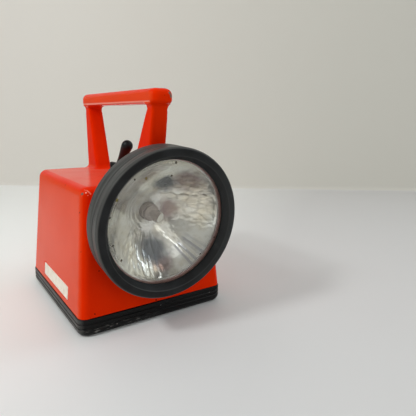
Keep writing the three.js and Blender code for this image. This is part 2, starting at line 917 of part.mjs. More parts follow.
const bulbBaseShare = 0.7;
const bulbRear = capFront - seatGap;
piece('bulb_glass', closed(revolve([
  [0, bulbRear],
  [bulbRadius * bulbBaseShare, bulbRear],
  ...arc(0, bulbRear - bulbLength + bulbRadius, bulbRadius, 0, -90, bulbSteps).slice(0, bulbSteps),
  [0, bulbRear - bulbLength],
], stemSegments)), clearGlass(), head);

// Lamp terminals on the back of the holder
const lampTabLength = 7;
const lampTabSpread = 5;
const lampTabWidth = 4.8;
for (const side of [-1, 1]) {
  const tab = block(
    side * lampTabSpread - tabThickness / 2,
    side * lampTabSpread + tabThickness / 2,
    holderRear + seatGap,
    holderRear + seatGap + lampTabLength,
    -lampTabWidth / 2,
    lampTabWidth / 2,
  );
  piece(`lamp_terminal_${contactNames[side]}`, tab, brass(), head);
}

// Switch bushing on the top face: a slotted turret with a stem through the shell
const turretRadius = 8;
const turretHeight = 11.6;
const turretRound = 1.6;
const bushingFlangeRadius = 9.6;
const bushingFlangeThickness = 1.8;
const gasketRing = 1.2;
const slotWidth = 8;
const hubRadius = 4.4;
const hubClearance = 0.25;
const pinRadius = 1.2;
const switchSeat = topFace + seatGap + gasketRing + seatGap;
const turretTop = topFace + turretHeight;
const nutHeight = 3.6;
const stemLow = topFace - shellWall - seatGap - nutHeight - seatGap;

function bushing() {
  const turret = upright(revolve([
    [0, stemLow],
    [stemRadius, stemLow],
    [stemRadius, switchSeat],
    [bushingFlangeRadius, switchSeat],
    [bushingFlangeRadius, switchSeat + bushingFlangeThickness],
    [turretRadius, switchSeat + bushingFlangeThickness],
    [turretRadius, turretTop - turretRound],
    [turretRadius - turretRound, turretTop],
    [0, turretTop],
  ], stemSegments));
  const slotFloor = switchSeat + bushingFlangeThickness;
  const slot = block(
    -slotWidth / 2,
    slotWidth / 2,
    -turretRadius - overrun,
    turretRadius + overrun,
    slotFloor,
    turretTop + overrun,
  );
  const hubPocket = new THREE.CylinderGeometry(
    hubRadius + hubClearance,
    hubRadius + hubClearance,
    slotWidth,
    stemSegments,
  );
  const pinBore = new THREE.CylinderGeometry(
    pinRadius + runningGap,
    pinRadius + runningGap,
    2 * (turretRadius + overrun),
    screwSegments,
  );
  return solid(turret)
    .subtract(solid(slot))
    .subtract(solid(hubPocket.rotateZ(quarterTurn).translate(0, 0, pivotZ)))
    .subtract(solid(pinBore.rotateZ(quarterTurn).translate(0, 0, pivotZ)));
}

piece('switch_bushing', shape(bushing()), blackPlastic(), lantern).position.set(0, pivotY, 0);

// Rubber sealing ring under the bushing flange
piece('switch_seal', closed(upright(ringOf([
  [stemRadius + stemClearance, 0],
  [bushingFlangeRadius, 0],
  [bushingFlangeRadius, gasketRing],
  [stemRadius + stemClearance, gasketRing],
], stemSegments))), blackRubber(), lantern).position.set(0, pivotY, topFace + seatGap);

// Hexagon nut that pulls the bushing down from inside
const bushingNutRadius = 10.4;
const bushingNut = closed(hexNut(bushingNutRadius, nutHeight, stemRadius + stemClearance));
piece('switch_nut', bushingNut, zincSteel(), lantern)
  .position.set(0, pivotY, topFace - shellWall - seatGap - nutHeight);

// Closed switch block below the stem, with two solder tabs
const switchBlockHalfX = 9.5;
const switchBlockHalfY = 15;
const switchBlockHeight = 17;
const switchBlockTop = stemLow - seatGap;
const switchBlockLow = switchBlockTop - switchBlockHeight;
piece('switch_block', block(
  -switchBlockHalfX,
  switchBlockHalfX,
  -switchBlockHalfY,
  switchBlockHalfY,
  switchBlockLow,
  switchBlockTop,
), brownResin(), lantern).position.set(0, pivotY, 0);

const switchTabLength = 7;
const switchTabSpread = 9;
for (const side of [-1, 1]) {
  const y = pivotY + side * switchTabSpread;
  const tab = block(
    -lampTabWidth / 2,
    lampTabWidth / 2,
    y - tabThickness / 2,
    y + tabThickness / 2,
    switchBlockLow - seatGap - switchTabLength,
    switchBlockLow - seatGap,
  );
  piece(`switch_terminal_${side < 0 ? 'front' : 'rear'}`, tab, brass(), lantern);
}

// Pivot pin across the turret and the club-shaped lever that turns on it
const pinShare = 0.94;
const pin = new THREE.CylinderGeometry(pinRadius, pinRadius, 2 * turretRadius * pinShare, screwSegments);
piece('switch_pin', closed(pin.rotateZ(quarterTurn)), zincSteel(), lantern).position.set(0, pivotY, pivotZ);

const leverRootRadius = 3.5;
const leverKnobRadius = 5.7;
const hubThickness = 7.5;
const knobSteps = 5;
const leverProfileShares = [[0.36, 1.03], [0.62, 1.25], [0.84, 1.5]];

function lever() {
  const bat = upright(revolve([
    [0, 0],
    [leverRootRadius, 0],
    ...leverProfileShares.map(([along, swell]) => [leverRootRadius * swell, leverLength * along]),
    ...arc(0, leverLength, leverKnobRadius, 0, 90, knobSteps).slice(0, knobSteps),
    [0, leverLength + leverKnobRadius],
  ], stemSegments));
  const hub = new THREE.CylinderGeometry(hubRadius, hubRadius, hubThickness, stemSegments);
  const bore = new THREE.CylinderGeometry(
    pinRadius + runningGap,
    pinRadius + runningGap,
    hubThickness + overrun,
    screwSegments,
  );
  return solid(bat)
    .add(solid(hub.rotateZ(quarterTurn)))
    .subtract(solid(bore.rotateZ(quarterTurn)));
}

const leverMesh = piece('switch_lever', shape(lever()), blackPlastic(), lantern);
leverMesh.position.set(0, pivotY, pivotZ);
leverMesh.rotation.x = radians(leverLeanDeg);

// Insulated leads leave each terminal straight, and run through places chosen by hand
const leadRadius = 1.2;
const leadSides = 8;
const leadSteps = 14;
const leadRun = 2.4;
const linkX = tabStart + tabLength + seatGap + linkThickness / 2;
const linkFront = frontTabY - linkHeight / 2 - seatGap;
const chargeLeadY = -7;
const switchTabEnd = switchBlockLow - seatGap - switchTabLength - seatGap;
const studTop = screwSeat + studLength + seatGap;

const up = new THREE.Vector3(0, 0, 1);
const down = new THREE.Vector3(0, 0, -1);
const forward = new THREE.Vector3(0, -1, 0);
const rearward = new THREE.Vector3(0, 1, 0).transformDirection(head.matrix);

function lampTabEnd(side) {
  const end = holderRear + seatGap + lampTabLength + seatGap;
  return new THREE.Vector3(side * lampTabSpread, end, 0).applyMatrix4(head.matrix);
}
function point(x, y, z) {
  return new THREE.Vector3(x, y, z);
}

const leads = [
  {
    name: 'lead_supply',
    insulation: redInsulation(),
    start: [point(linkX, 0, tabZ.plus + linkHeight / 2 + seatGap), up],
    way: [[56, -1, 74], [42, -4, 85], [16, -5.5, 88], [3, -5.6, 91]],
    end: [point(0, pivotY - switchTabSpread, switchTabEnd), down],
  },
  {
    name: 'lead_lamp_plus',
    insulation: redInsulation(),
    start: [point(0, pivotY + switchTabSpread, switchTabEnd), down],
    way: [[5, 4, 85], [8, -13, 84], [7, -27, 92]],
    end: [lampTabEnd(1), rearward],
  },
  {
    name: 'lead_lamp_minus',
    insulation: blackInsulation(),
    start: [point(linkX, linkFront, tabZ.minus), forward],
    way: [[55, -25, 33], [43, -32, 57], [14, -30, 76], [-8, -25, 84], [-9, -26, 97]],
    end: [lampTabEnd(-1), rearward],
  },
  {
    name: 'lead_charge_plus',
    insulation: redInsulation(),
    start: [point(contactX, contactY, studTop), up],
    way: [[29, -45, 24], [42, -38, 38], [54, -28, 54]],
    end: [point(linkX, linkFront, tabZ.plus), forward],
  },
  {
    name: 'lead_charge_minus',
    insulation: blackInsulation(),
    start: [point(-contactX, contactY, studTop), up],
    way: [[-16, -45, 19], [4, -38, 20], [34, -31, 14], [53, -19, 10]],
    end: [point(linkX, chargeLeadY, tabZ.minus - linkHeight / 2 - seatGap), down],
  },
];

for (const { name, insulation, start, way, end } of leads) {
  const run = ([from, direction]) => from.clone().addScaledVector(direction, leadRun);
  const middle = way.map((stop) => point(...stop));
  const route = new THREE.CatmullRomCurve3([start[0], run(start), ...middle, run(end), end[0]]);
  const section = [];
  for (let i = 0; i < leadSides; i += 1) {
    const angle = 2 * Math.PI * i / leadSides;
    section.push(new THREE.Vector2(leadRadius * Math.cos(angle), leadRadius * Math.sin(angle)));
  }
  const settings = { steps: leadSteps, extrudePath: route };
  const lead = new THREE.ExtrudeGeometry(new THREE.Shape(section), settings);
  piece(name, closed(lead), insulation, lantern);
}

export default lantern;
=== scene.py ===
"""Hand lantern: its looks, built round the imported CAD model.

Lengths are in metres in the model's own frame. The lamp faces -Y, +Z is up, and the origin is
the middle of the flat underside.
"""

import json
import math

import bmesh
import bpy
from mathutils import Matrix, Vector, noise
from mathutils.bvhtree import BVHTree


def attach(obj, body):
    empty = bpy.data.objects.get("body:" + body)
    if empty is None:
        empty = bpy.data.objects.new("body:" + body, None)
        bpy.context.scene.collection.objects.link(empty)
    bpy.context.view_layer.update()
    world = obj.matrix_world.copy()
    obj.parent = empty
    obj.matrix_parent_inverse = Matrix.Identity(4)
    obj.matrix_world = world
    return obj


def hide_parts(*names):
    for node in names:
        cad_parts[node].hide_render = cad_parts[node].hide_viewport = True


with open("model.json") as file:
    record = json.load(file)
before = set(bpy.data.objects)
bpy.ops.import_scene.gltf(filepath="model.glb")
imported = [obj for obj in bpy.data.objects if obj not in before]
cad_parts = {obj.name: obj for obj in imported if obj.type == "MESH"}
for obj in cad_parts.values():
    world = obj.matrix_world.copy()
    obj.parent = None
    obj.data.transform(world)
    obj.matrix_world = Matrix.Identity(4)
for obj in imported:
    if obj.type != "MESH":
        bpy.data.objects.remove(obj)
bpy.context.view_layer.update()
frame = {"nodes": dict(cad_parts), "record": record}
nodes = frame["nodes"]

# Camera: it stands to the left of the lamp's axis and looks a little down. The view was solved
# from the photograph, which leans a little to one side.
camera_place = Vector((-0.17523, -0.41576, 0.19177))
camera_yaw = math.radians(35.04)
camera_pitch = math.radians(12.43)
camera_roll = math.radians(0.76)

ahead = Vector((
    math.sin(camera_yaw) * math.cos(camera_pitch),
    math.cos(camera_yaw) * math.cos(camera_pitch),
    -math.sin(camera_pitch),
))
level_right = Vector((math.cos(camera_yaw), -math.sin(camera_yaw), 0))
level_up = level_right.cross(ahead)
camera_right = math.cos(camera_roll) * level_right + math.sin(camera_roll) * level_up
camera_up = camera_right.cross(ahead)

lens = bpy.data.cameras.new("photo_view")
lens.lens = 36
lens.sensor_width = 36
lens.clip_start = 0.01
lens.clip_end = 30
camera = bpy.data.objects.new("photo_view", lens)
turn = Matrix((camera_right, camera_up, -ahead)).transposed()
camera.matrix_world = Matrix.Translation(camera_place) @ turn.to_4x4()
bpy.context.scene.collection.objects.link(camera)
bpy.context.scene.camera = camera
bpy.context.scene.view_settings.view_transform = "Standard"


# Studio: a white table top that sweeps into a pale grey wall. It is painted board with painted light
# and shade in its tone, and carries the lantern's soft shadow. It isn't part of the lantern.
def tone(*screen):
    """A colour given in 0 to 255 screen values, as linear light with its alpha."""
    shares = [value / 255 for value in screen]
    return (*(s / 12.92 if s <= 0.04045 else ((s + 0.055) / 1.055) ** 2.4 for s in shares), 1)


def feed(sockets, sources):
    """Gives each named socket its plain value, or links it to the socket that feeds it."""
    for key, source in sources.items():
        if isinstance(source, bpy.types.NodeSocket):
            source.id_data.links.new(source, sockets[key])
        else:
            sockets[key].default_value = source


def new_finish(name, plain):
    """A material, and its Principled shader with these plain values."""
    material = bpy.data.materials.new(name)
    material.use_nodes = True
    shader = material.node_tree.nodes["Principled BSDF"]
    feed(shader.inputs, plain)
    return material, shader


def add_node(owner, kind, inputs=None, **settings):
    """The outputs of a new node, in the tree of its owner, which is a tree, a node or a socket."""
    made = owner.id_data.nodes.new("ShaderNode" + kind)
    for key, value in settings.items():
        setattr(made, key, value)
    feed(made.inputs, inputs or {})
    return made.outputs


def maths(operation, *values):
    """The result of a Math node, whose first value is a socket."""
    return add_node(values[0], "Math", dict(enumerate(values)), operation=operation)["Value"]


def times(share, *others):
    """The product of a share and others."""
    for other in others:
        share = maths("MULTIPLY", share, other)
    return share


def vectors(operation, *values):
    """The result of a Vector Math node, whose first value is a socket."""
    made = add_node(values[0], "VectorMath", dict(enumerate(values)), operation=operation)
    return made["Value" if operation in ("DOT_PRODUCT", "DISTANCE", "LENGTH") else "Vector"]


def mixed(share, below, above, **settings):
    """Two colours mixed by a share, which is a socket."""
    inputs = {"Factor": share, "A": below, "B": above}
    return add_node(share, "Mix", inputs, data_type="RGBA", **settings)["Result"]


def add_range(source, low, high, to_low=0.0, to_high=1.0):
    """A value spread from one range to another, and held at its ends."""
    inputs = {"Value": source, "From Min": low, "From Max": high, "To Min": to_low, "To Max": to_high}
    return add_node(source, "MapRange", inputs)["Result"]


def place_of(owner):
    """The place on a piece, which is the model's own frame."""
    return add_node(owner, "TexCoord")["Object"]


def split(vector):
    """The three parts of a vector socket."""
    return add_node(vector, "SeparateXYZ", {"Vector": vector})


def clouds(place, scale, detail, roughness=0.5):
    """The outputs of a soft noise over a place."""
    inputs = {"Vector": place, "Scale": scale, "Detail": detail, "Roughness": roughness}
    return add_node(place, "TexNoise", inputs)


def place_object(name, bm, materials):
    """A mesh object at the origin, made from a bmesh."""
    mesh = bpy.data.meshes.new(name)
    bm.to_mesh(mesh)
    bm.free()
    for material in materials:
        mesh.materials.append(material)
    made = bpy.data.objects.new(name, mesh)
    bpy.context.scene.collection.objects.link(made)
    return made


def arc(centre_radius, centre_depth, radius, start, end, steps):
    """Profile points round part of a circle, in degrees."""
    angles = [math.radians(start + (end - start) * step / steps) for step in range(steps + 1)]
    return [(centre_radius + radius * math.cos(a), centre_depth + radius * math.sin(a)) for a in angles]


board, board_shader = new_finish("painted_board", {"Roughness": 0.5, "Specular IOR Level": 0.3})
board_place = place_of(board_shader)
board_at = split(board_place)
# Painted light and shade: the table is lighter to the back left and darker to the front right, and the wall
# is lighter to the left
table_light_fall = maths(
    "MULTIPLY_ADD", clouds(board_place, 1.6, 2)["Fac"], 0.08,
    vectors("DOT_PRODUCT", board_place, (-0.6, 0.8, 0)),
)
table_painted_light = mixed(add_range(table_light_fall, -0.12, 0.2), tone(221, 221, 221), tone(250, 252, 250))
wall_painted_light = mixed(add_range(board_at["X"], 0.75, -0.2), tone(221, 220, 211), tone(232, 228, 221))
# Painted shade: the wall's far left end, which the camera doesn't see, is painted dim, so the
# glossy red mirrors a dark stretch of room there
wall_painted_light = mixed(add_range(board_at["X"], -0.12, -0.4), wall_painted_light, tone(112, 109, 105))
feed(board_shader.inputs, {
    "Base Color": mixed(add_range(board_at["Z"], 0.0002, 0.004), table_painted_light, wall_painted_light),
})

table_half_width = 1.5
table_behind = 0.9
wall_distance = 1.116
wall_height = 1.6
sweep_radius = 0.012
sweep_steps = 8
table_depth = table_behind + wall_distance
bm = bmesh.new()
near_edge = [bm.verts.new((side * table_half_width, -table_behind, 0)) for side in (-1, 1)]
strip = [bm.edges.new(near_edge)]
along, height = 0, 0
for next_along, next_height in (
    *arc(table_depth - sweep_radius, sweep_radius, sweep_radius, -90, 0, sweep_steps),
    (table_depth, wall_height),
):
    grown = bmesh.ops.extrude_edge_only(bm, edges=strip)
    strip = [item for item in grown["geom"] if isinstance(item, bmesh.types.BMEdge)]
    moved = [item for item in grown["geom"] if isinstance(item, bmesh.types.BMVert)]
    bmesh.ops.translate(bm, verts=moved, vec=(0, next_along - along, next_height - height))
    along, height = next_along, next_height
toward_wall = Matrix.Rotation(-camera_yaw, 4, "Z")
under_camera = Matrix.Translation((camera_place.x, camera_place.y, 0))
bmesh.ops.transform(bm, matrix=under_camera @ toward_wall, verts=bm.verts)
bmesh.ops.recalc_face_normals(bm, faces=bm.faces)
backdrop = place_object("backdrop", bm, [board])
for polygon in backdrop.data.polygons:
    polygon.use_smooth = True

# The room is bright above and to the left, dim ahead of the lantern, and pale to the camera. Its
# far windows and a ceiling light show as small bright patches in the reflector.
world = bpy.data.worlds.new("soft_room")
world.use_nodes = True
bpy.context.scene.world = world
room = world.node_tree
room_light = room.nodes["Background"]
looked_at = add_node(room, "TexCoord")["Generated"]
room_side = maths("MULTIPLY_ADD", vectors("DOT_PRODUCT", looked_at, (-0.72, 0.34, 0.6)), 0.5, 0.5)
room_ramp = room.nodes.new("ShaderNodeValToRGB")
feed(room_ramp.inputs, {"Fac": room_side})
for element, position, colour in zip(
    room_ramp.color_ramp.elements, (0.3, 0.76), (tone(116, 113, 109), tone(236, 236, 232)),
):
    element.position = position
    element.color = colour
room_tone = room_ramp.outputs["Color"]
for aim, edge, middle, glow in (
    ((0.76, -0.28, 0.58), 0.955, 0.972, (4.4, 4.9, 5.3, 1)),
    ((0.42, -0.38, 0.82), 0.990, 0.996, (3.8, 3.4, 3.0, 1)),
    ((-0.77, -0.52, -0.36), 0.93, 0.97, (0.45, 0.42, 0.36, 1)),
):
    pane = add_range(vectors("DOT_PRODUCT", looked_at, aim), edge, middle)
    room_tone = mixed(pane, room_tone, glow, blend_type="ADD")

# One narrow tube light stands ahead of the lantern
across_tube = maths("ABSOLUTE", vectors("DOT_PRODUCT", looked_at, (-0.771, -0.248, -0.586)))
along_tube = vectors("DOT_PRODUCT", looked_at, (-0.08, -0.87, 0.48))
tube = times(add_range(across_tube, 0.05, 0.015), add_range(along_tube, 0.9, 0.95))
room_tone = mixed(tube, room_tone, (3.4, 3.6, 3.8, 1), blend_type="ADD")
camera_ray = add_node(room, "LightPath")["Is Camera Ray"]
feed(room_light.inputs, {"Strength": 0.5, "Color": mixed(camera_ray, room_tone, tone(222, 222, 218))})

lamps = [
    ("window_left", (-0.9, -0.05, 0.98), (0, 0, 0.05), 0.16, 5.7),
    ("ceiling_panel", (-0.1, 0.1, 1.5), (0, 0, 0.05), 1.2, 2.6),
    ("wall_ahead", (0.4, -1.7, 0.9), (0, -0.1, 0.1), 2.4, 8.6),
]
for name, place, aim, size, power in lamps:
    lamp = bpy.data.lights.new(name, "AREA")
    lamp.size = size
    lamp.energy = power
    holder = bpy.data.objects.new(name, lamp)
    facing = (Vector(aim) - Vector(place)).to_track_quat("-Z", "Y").to_matrix().to_4x4()
    holder.matrix_world = Matrix.Translation(place) @ facing
    bpy.context.scene.collection.objects.link(holder)

# Body shell: one moulding in glossy red plastic, with its carrying handle and the tapering collar
# that holds the lamp. The mould gave it tapered walls about 3 mm thick, and soft blends where the
# legs and the collar grow out of the walls. It stands on four corner screws from below.
seam = 0.0171
body_top = 0.1316
body_low = 0.0063
foot_width, top_width = 0.1506, 0.130
foot_depth, top_depth = 0.1666, 0.1476
top_shift = -0.0008
wall = 0.003
tongue_inset = 0.0024
tongue_corner = 0.0065
corner_steps = 8


def body_limits(z, inset=0.0):
    """Left, right, front and back of the tapered body at a height, drawn in by an inset."""
    share = (z - seam) / (body_top - seam)
    half_width = (foot_width + (top_width - foot_width) * share) / 2 - inset
    half_depth = (foot_depth + (top_depth - foot_depth) * share) / 2 - inset
    return -half_width, half_width, top_shift * share - half_depth, top_shift * share + half_depth


def rounded_sheet(bm, limits, z, radius, steps):
    """A level rectangle with round corners, and the face that it is."""
    left, right, front, back = limits
    corners = [(left, front), (right, front), (right, back), (left, back)]
    verts = [bm.verts.new((x, y, z)) for x, y in corners]
    old = set(bm.faces)
    bm.faces.new(verts)
    bmesh.ops.bevel(
        bm, geom=verts, offset=radius, segments=steps, profile=0.5,
        affect="VERTICES", material=-1,
    )
    return (set(bm.faces) - old).pop()


def raise_sheet(bm, face, limits, z):
    """Extrudes a level face to a new height and fits it to new limits."""
    grown = bmesh.ops.extrude_face_region(bm, geom=[face])
    lifted = [item for item in grown["geom"] if isinstance(item, bmesh.types.BMFace)][0]
    if all(len(edge.link_faces) > 2 for edge in face.edges):
        bmesh.ops.delete(bm, geom=[face], context="FACES_ONLY")
    across = [vert.co.x for vert in lifted.verts]
    along = [vert.co.y for vert in lifted.verts]
    left, right, front, back = limits
    centre = Vector((
        (min(across) + max(across)) / 2,
        (min(along) + max(along)) / 2,
        lifted.verts[0].co.z,
    ))
    stretch = Matrix.Diagonal((
        (right - left) / (max(across) - min(across)),
        (back - front) / (max(along) - min(along)),
        1,
        1,
    ))
    goal = Matrix.Translation(((left + right) / 2, (front + back) / 2, z))
    bmesh.ops.transform(bm, matrix=goal @ stretch @ Matrix.Translation(-centre), verts=lifted.verts)
    return lifted


def stack_sheets(bm, levels, radius, steps=corner_steps):
    """A closed solid through level sheets, given as height and limits from one end to the other."""
    (z, limits), *rest = levels
    face = rounded_sheet(bm, limits, z, radius, steps)
    for z, limits in rest:
        face = raise_sheet(bm, face, limits, z)


def spun(bm, profile, steps, place=Matrix()):
    """A solid turned about the Y axis in an empty bmesh, from a profile of radius and depth."""
    verts = [bm.verts.new((radius, depth, 0)) for radius, depth in profile]
    edges = [bm.edges.new(pair) for pair in zip(verts, verts[1:])]
    if profile[0][0] > 0:
        edges.append(bm.edges.new((verts[-1], verts[0])))
    bmesh.ops.spin(
        bm, geom=verts + edges, cent=(0, 0, 0), axis=(0, 1, 0), angle=2 * math.pi,
        steps=steps, use_merge=True,
    )
    bmesh.ops.remove_doubles(bm, verts=bm.verts, dist=1e-7)
    bmesh.ops.transform(bm, matrix=place, verts=bm.verts)


def box_tool(bm, low, high):
    """A box between two corners."""
    low, high = Vector(low), Vector(high)
    stretch = Matrix.Diagonal((*(high - low), 1))
    bmesh.ops.create_cube(bm, size=1, matrix=Matrix.Translation((low + high) / 2) @ stretch)


def round_post(bm, centre, radius, length, sides=48, lie=Matrix()):
    """A round post about its centre, which stands up unless it is laid over."""
    bmesh.ops.create_cone(
        bm, cap_ends=True, segments=sides, radius1=radius, radius2=radius, depth=length,
        matrix=Matrix.Translation(centre) @ lie,
    )


def post_tool(bm, x, y, low, high, radius, sides=40):
    """An upright round post between two heights."""
    round_post(bm, (x, y, (low + high) / 2), radius, high - low, sides)


def made_solid(name, materials, build, *details):
    """An object with the closed solid that a building function makes."""
    bm = bmesh.new()
    build(bm, *details)
    bmesh.ops.recalc_face_normals(bm, faces=bm.faces)
    return place_object(name, bm, materials)


def cutter(build, *details):
    """A solid for cutting or joining."""
    return made_solid("cutter", [], build, *details)


def apply_modifiers(piece):
    """Turns what the piece's modifiers make into its own mesh."""
    graph = bpy.context.evaluated_depsgraph_get()
    made = bpy.data.meshes.new_from_object(piece.evaluated_get(graph))
    old = piece.data
    piece.modifiers.clear()
    piece.data = made
    bpy.data.meshes.remove(old)


def carve(piece, tools, operation="DIFFERENCE"):
    """Cuts or joins a piece with the tools, one after another, and removes them."""
    for tool in tools:
        cut = piece.modifiers.new("cut", "BOOLEAN")
        cut.operation = operation
        cut.object = tool
        cut.solver = "EXACT"
        apply_modifiers(piece)
        bpy.data.objects.remove(tool)


def smooth_faces(piece, sharp_degrees=35):
    """Shades a piece smoothly, but keeps edges sharper than the angle."""
    piece.data.shade_smooth()
    piece.data.set_sharp_from_angle(angle=math.radians(sharp_degrees))


def round_edges(bm, edges, reach):
    """Rounds those edges over that reach."""
    bmesh.ops.bevel(
        bm, geom=edges, offset=reach, segments=corner_steps, profile=0.5,
        affect="EDGES", material=-1,
    )
    bm.normal_update()


def upright_edges(bm):
    """The edges of a block that stand up."""
    return [e for e in bm.edges if abs(e.verts[0].co.z - e.verts[1].co.z) > 0.001]


def rim_edges(bm, height):
    """The edges round a block's level end at that height."""
    level = [e for e in bm.edges if all(abs(v.co.z - height) < 1e-6 for v in e.verts)]
    return [e for e in level if any(abs(f.normal.z) < 0.5 for f in e.link_faces)]


body_corner = 0.0074
body_fillet = 0.0075
body_overlap = 0.004


def body_block(bm):
    """The tapered box with its rounded upright edges and its rounded top."""
    foot = body_low - body_overlap
    for vert in bmesh.ops.create_cube(bm, size=2)["verts"]:
        z = body_top if vert.co.z > 0 else foot
        left, right, front, back = body_limits(z)
        vert.co = (right if vert.co.x > 0 else left, back if vert.co.y > 0 else front, z)
    round_edges(bm, upright_edges(bm), body_corner)
    round_edges(bm, rim_edges(bm, body_top), body_fillet)


def flare(distance, reach):
    """How far a blend of that reach stands out at a distance from the corner it fills."""
    if distance >= reach:
        return 0
    left = reach - max(distance, 0)
    return reach - math.sqrt(reach * reach - left * left)


leg_corner = 0.005
leg_half_foot, leg_half_head = 0.0088, 0.0077
leg_foot_reach = 0.004
leg_head_reach = 0.0038
leg_head_share = 0.85
leg_root = body_top - 0.012
leg_overlap = 0.0065
leg_shares = (0, 0.06, 0.15, 0.3, 0.55, 1)
front_leg = ((-0.0835, -0.0946), (-0.044, -0.084))
back_leg = ((0.0729, 0.075), (0.0412, 0.0622))
grip_low = 0.2016
grip_high = 0.2146
grip_half_width = 0.011
grip_front, grip_back = -0.100, 0.0784
grip_corner = 0.008
grip_top_round, grip_under_round = 0.0062, 0.0034


def handle_leg(bm, outer, inner):
    """A leaning leg between its outer and inner faces, each given at its foot and its head."""
    def at(foot_and_head, z):
        foot, head = foot_and_head
        return foot + (head - foot) * (z - body_top) / (grip_low - body_top)

    heights = [body_top + leg_foot_reach * share for share in leg_shares]
    heights += [grip_low - leg_head_reach * share for share in reversed(leg_shares)]
    levels = []
    outward = 1 if outer[0] > inner[0] else -1
    for z in [leg_root, *heights, grip_low + leg_overlap]:
        open_height = body_top <= z <= grip_low
        foot = flare(z - body_top, leg_foot_reach) if open_height else 0
        head = flare(grip_low - z, leg_head_reach) if open_height else 0
        half = at((leg_half_foot, leg_half_head), z) + foot + head * leg_head_share
        faces = sorted((at(outer, z), at(inner, z) - outward * (foot + head)))
        levels.append((z, (-half, half, *faces)))
    stack_sheets(bm, levels, leg_corner)


def handle_grip(bm):
    """The bar over both legs, with full round edges."""
    box_tool(bm, (-grip_half_width, grip_front, grip_low), (grip_half_width, grip_back, grip_high))
    round_edges(bm, upright_edges(bm), grip_corner)
    round_edges(bm, rim_edges(bm, grip_high), grip_top_round)
    round_edges(bm, rim_edges(bm, grip_low), grip_under_round)


head_centre = (0, -0.1145, 0.0988)
head_lean = math.radians(5.1)
head_place = Matrix.Translation(head_centre) @ Matrix.Rotation(head_lean, 4, "X")
head_steps = 144
ring_depth = 0.0268
collar_front = 0.0150
collar_radius = 0.0622
collar_wall = 0.0034
collar_rear = ring_depth + 0.0003
collar_tip = 0.014
overrun = 0.005
tongue_wall = 0.0022
hollow_drop = 0.006
hollow_ease = 0.0027
hollow_corner = 0.004


def cone_profile(front, radius, rear):
    """The profile of a round seat and of the cone that runs back from it."""
    tip = rear + radius - collar_tip
    return [(0, front), (radius, front), (radius, rear), (collar_tip, tip), (0, tip)]


def body_hollow(bm):
    """The space inside the body, for the batteries."""
    tongue_cut = tongue_inset + tongue_wall
    ledge = seam + wall
    stack_sheets(bm, [
        (body_low - hollow_drop, body_limits(body_low, tongue_cut)),
        (ledge, body_limits(ledge, tongue_cut)),
        (ledge + tongue_cut - wall, body_limits(ledge + tongue_cut - wall, wall)),
        (body_top - body_fillet, body_limits(body_top - body_fillet, wall)),
        (body_top - wall, body_limits(body_top - wall, wall + hollow_ease)),
    ], hollow_corner)


boss_x, boss_front, boss_back = 0.0656, -0.0739, 0.0736
boss_radius = 0.005
boss_low, boss_top = body_low - 0.02, 0.0403
pilot_radius = 0.00215
pilot_low, pilot_top = body_low - 0.01, 0.0223
screw_places = [
    (-boss_x, boss_front), (boss_x, boss_front), (boss_x, boss_back), (-boss_x, boss_back),
]
switch_y = 0.0036
stem_bore = 0.0065
stem_bore_low = body_top - 0.012
skirt_half_width, skirt_low = 0.12, -0.05
tongue_top = seam + 0.01
settle_reach = 0.0005

bm = bmesh.new()
for build, *details in (
    (body_block,),
    (handle_leg, *front_leg),
    (handle_leg, *back_leg),
    (handle_grip,),
    (spun, cone_profile(collar_front, collar_radius, collar_rear), head_steps, head_place),
):
    part = cutter(build, *details)
    bm.from_mesh(part.data)
    bpy.data.objects.remove(part)
crisp = BVHTree.FromBMesh(bm)
shell = place_object("shell_with_handle", bm, [])
melt = shell.modifiers.new("melt", "REMESH")
melt.mode = "VOXEL"
melt.voxel_size = 0.0013
blend = shell.modifiers.new("blend", "SMOOTH")
blend.factor = 0.5
blend.iterations = 6
apply_modifiers(shell)
for vert in shell.data.vertices:
    near, _, _, away = crisp.find_nearest(vert.co, settle_reach)
    if near is not None:
        vert.co = vert.co.lerp(near, min(1, 2 - 2 * away / settle_reach))

hollow = cutter(body_hollow)
carve(hollow, [
    cutter(post_tool, x, y, boss_low, boss_top, boss_radius) for x, y in screw_places
])
skirt = cutter(
    box_tool,
    (-skirt_half_width, -skirt_half_width, skirt_low),
    (skirt_half_width, skirt_half_width, seam),
)
tongue_levels = [(z, body_limits(z, tongue_inset)) for z in (body_low, tongue_top)]
carve(skirt, [cutter(stack_sheets, tongue_levels, tongue_corner)])
collar_bore = collar_radius - collar_wall
bore_rear = collar_rear - (math.sqrt(2) - 1) * collar_wall
carve(hollow, [
    skirt,
    cutter(spun, cone_profile(collar_front - overrun, collar_bore, bore_rear), head_steps, head_place),
    cutter(post_tool, 0, switch_y, stem_bore_low, body_top + overrun, stem_bore),
    *[cutter(post_tool, x, y, pilot_low, pilot_top, pilot_radius, 20) for x, y in screw_places],
], "UNION")
carve(shell, [hollow])
smooth_faces(shell)

COLOUR = "NodeSocketColor"
VALUE = "NodeSocketFloat"
PLACE = "NodeSocketVector"


def new_group(name, inputs, outputs):
    """A shader group with named inputs and outputs, its inner entry and its result."""
    tree = bpy.data.node_groups.new(name, "ShaderNodeTree")
    for direction, sockets in (("INPUT", inputs), ("OUTPUT", outputs)):
        for label, kind in sockets.items():
            tree.interface.new_socket(label, in_out=direction, socket_type=kind)
    return tree, tree.nodes.new("NodeGroupInput").outputs, tree.nodes.new("NodeGroupOutput").inputs


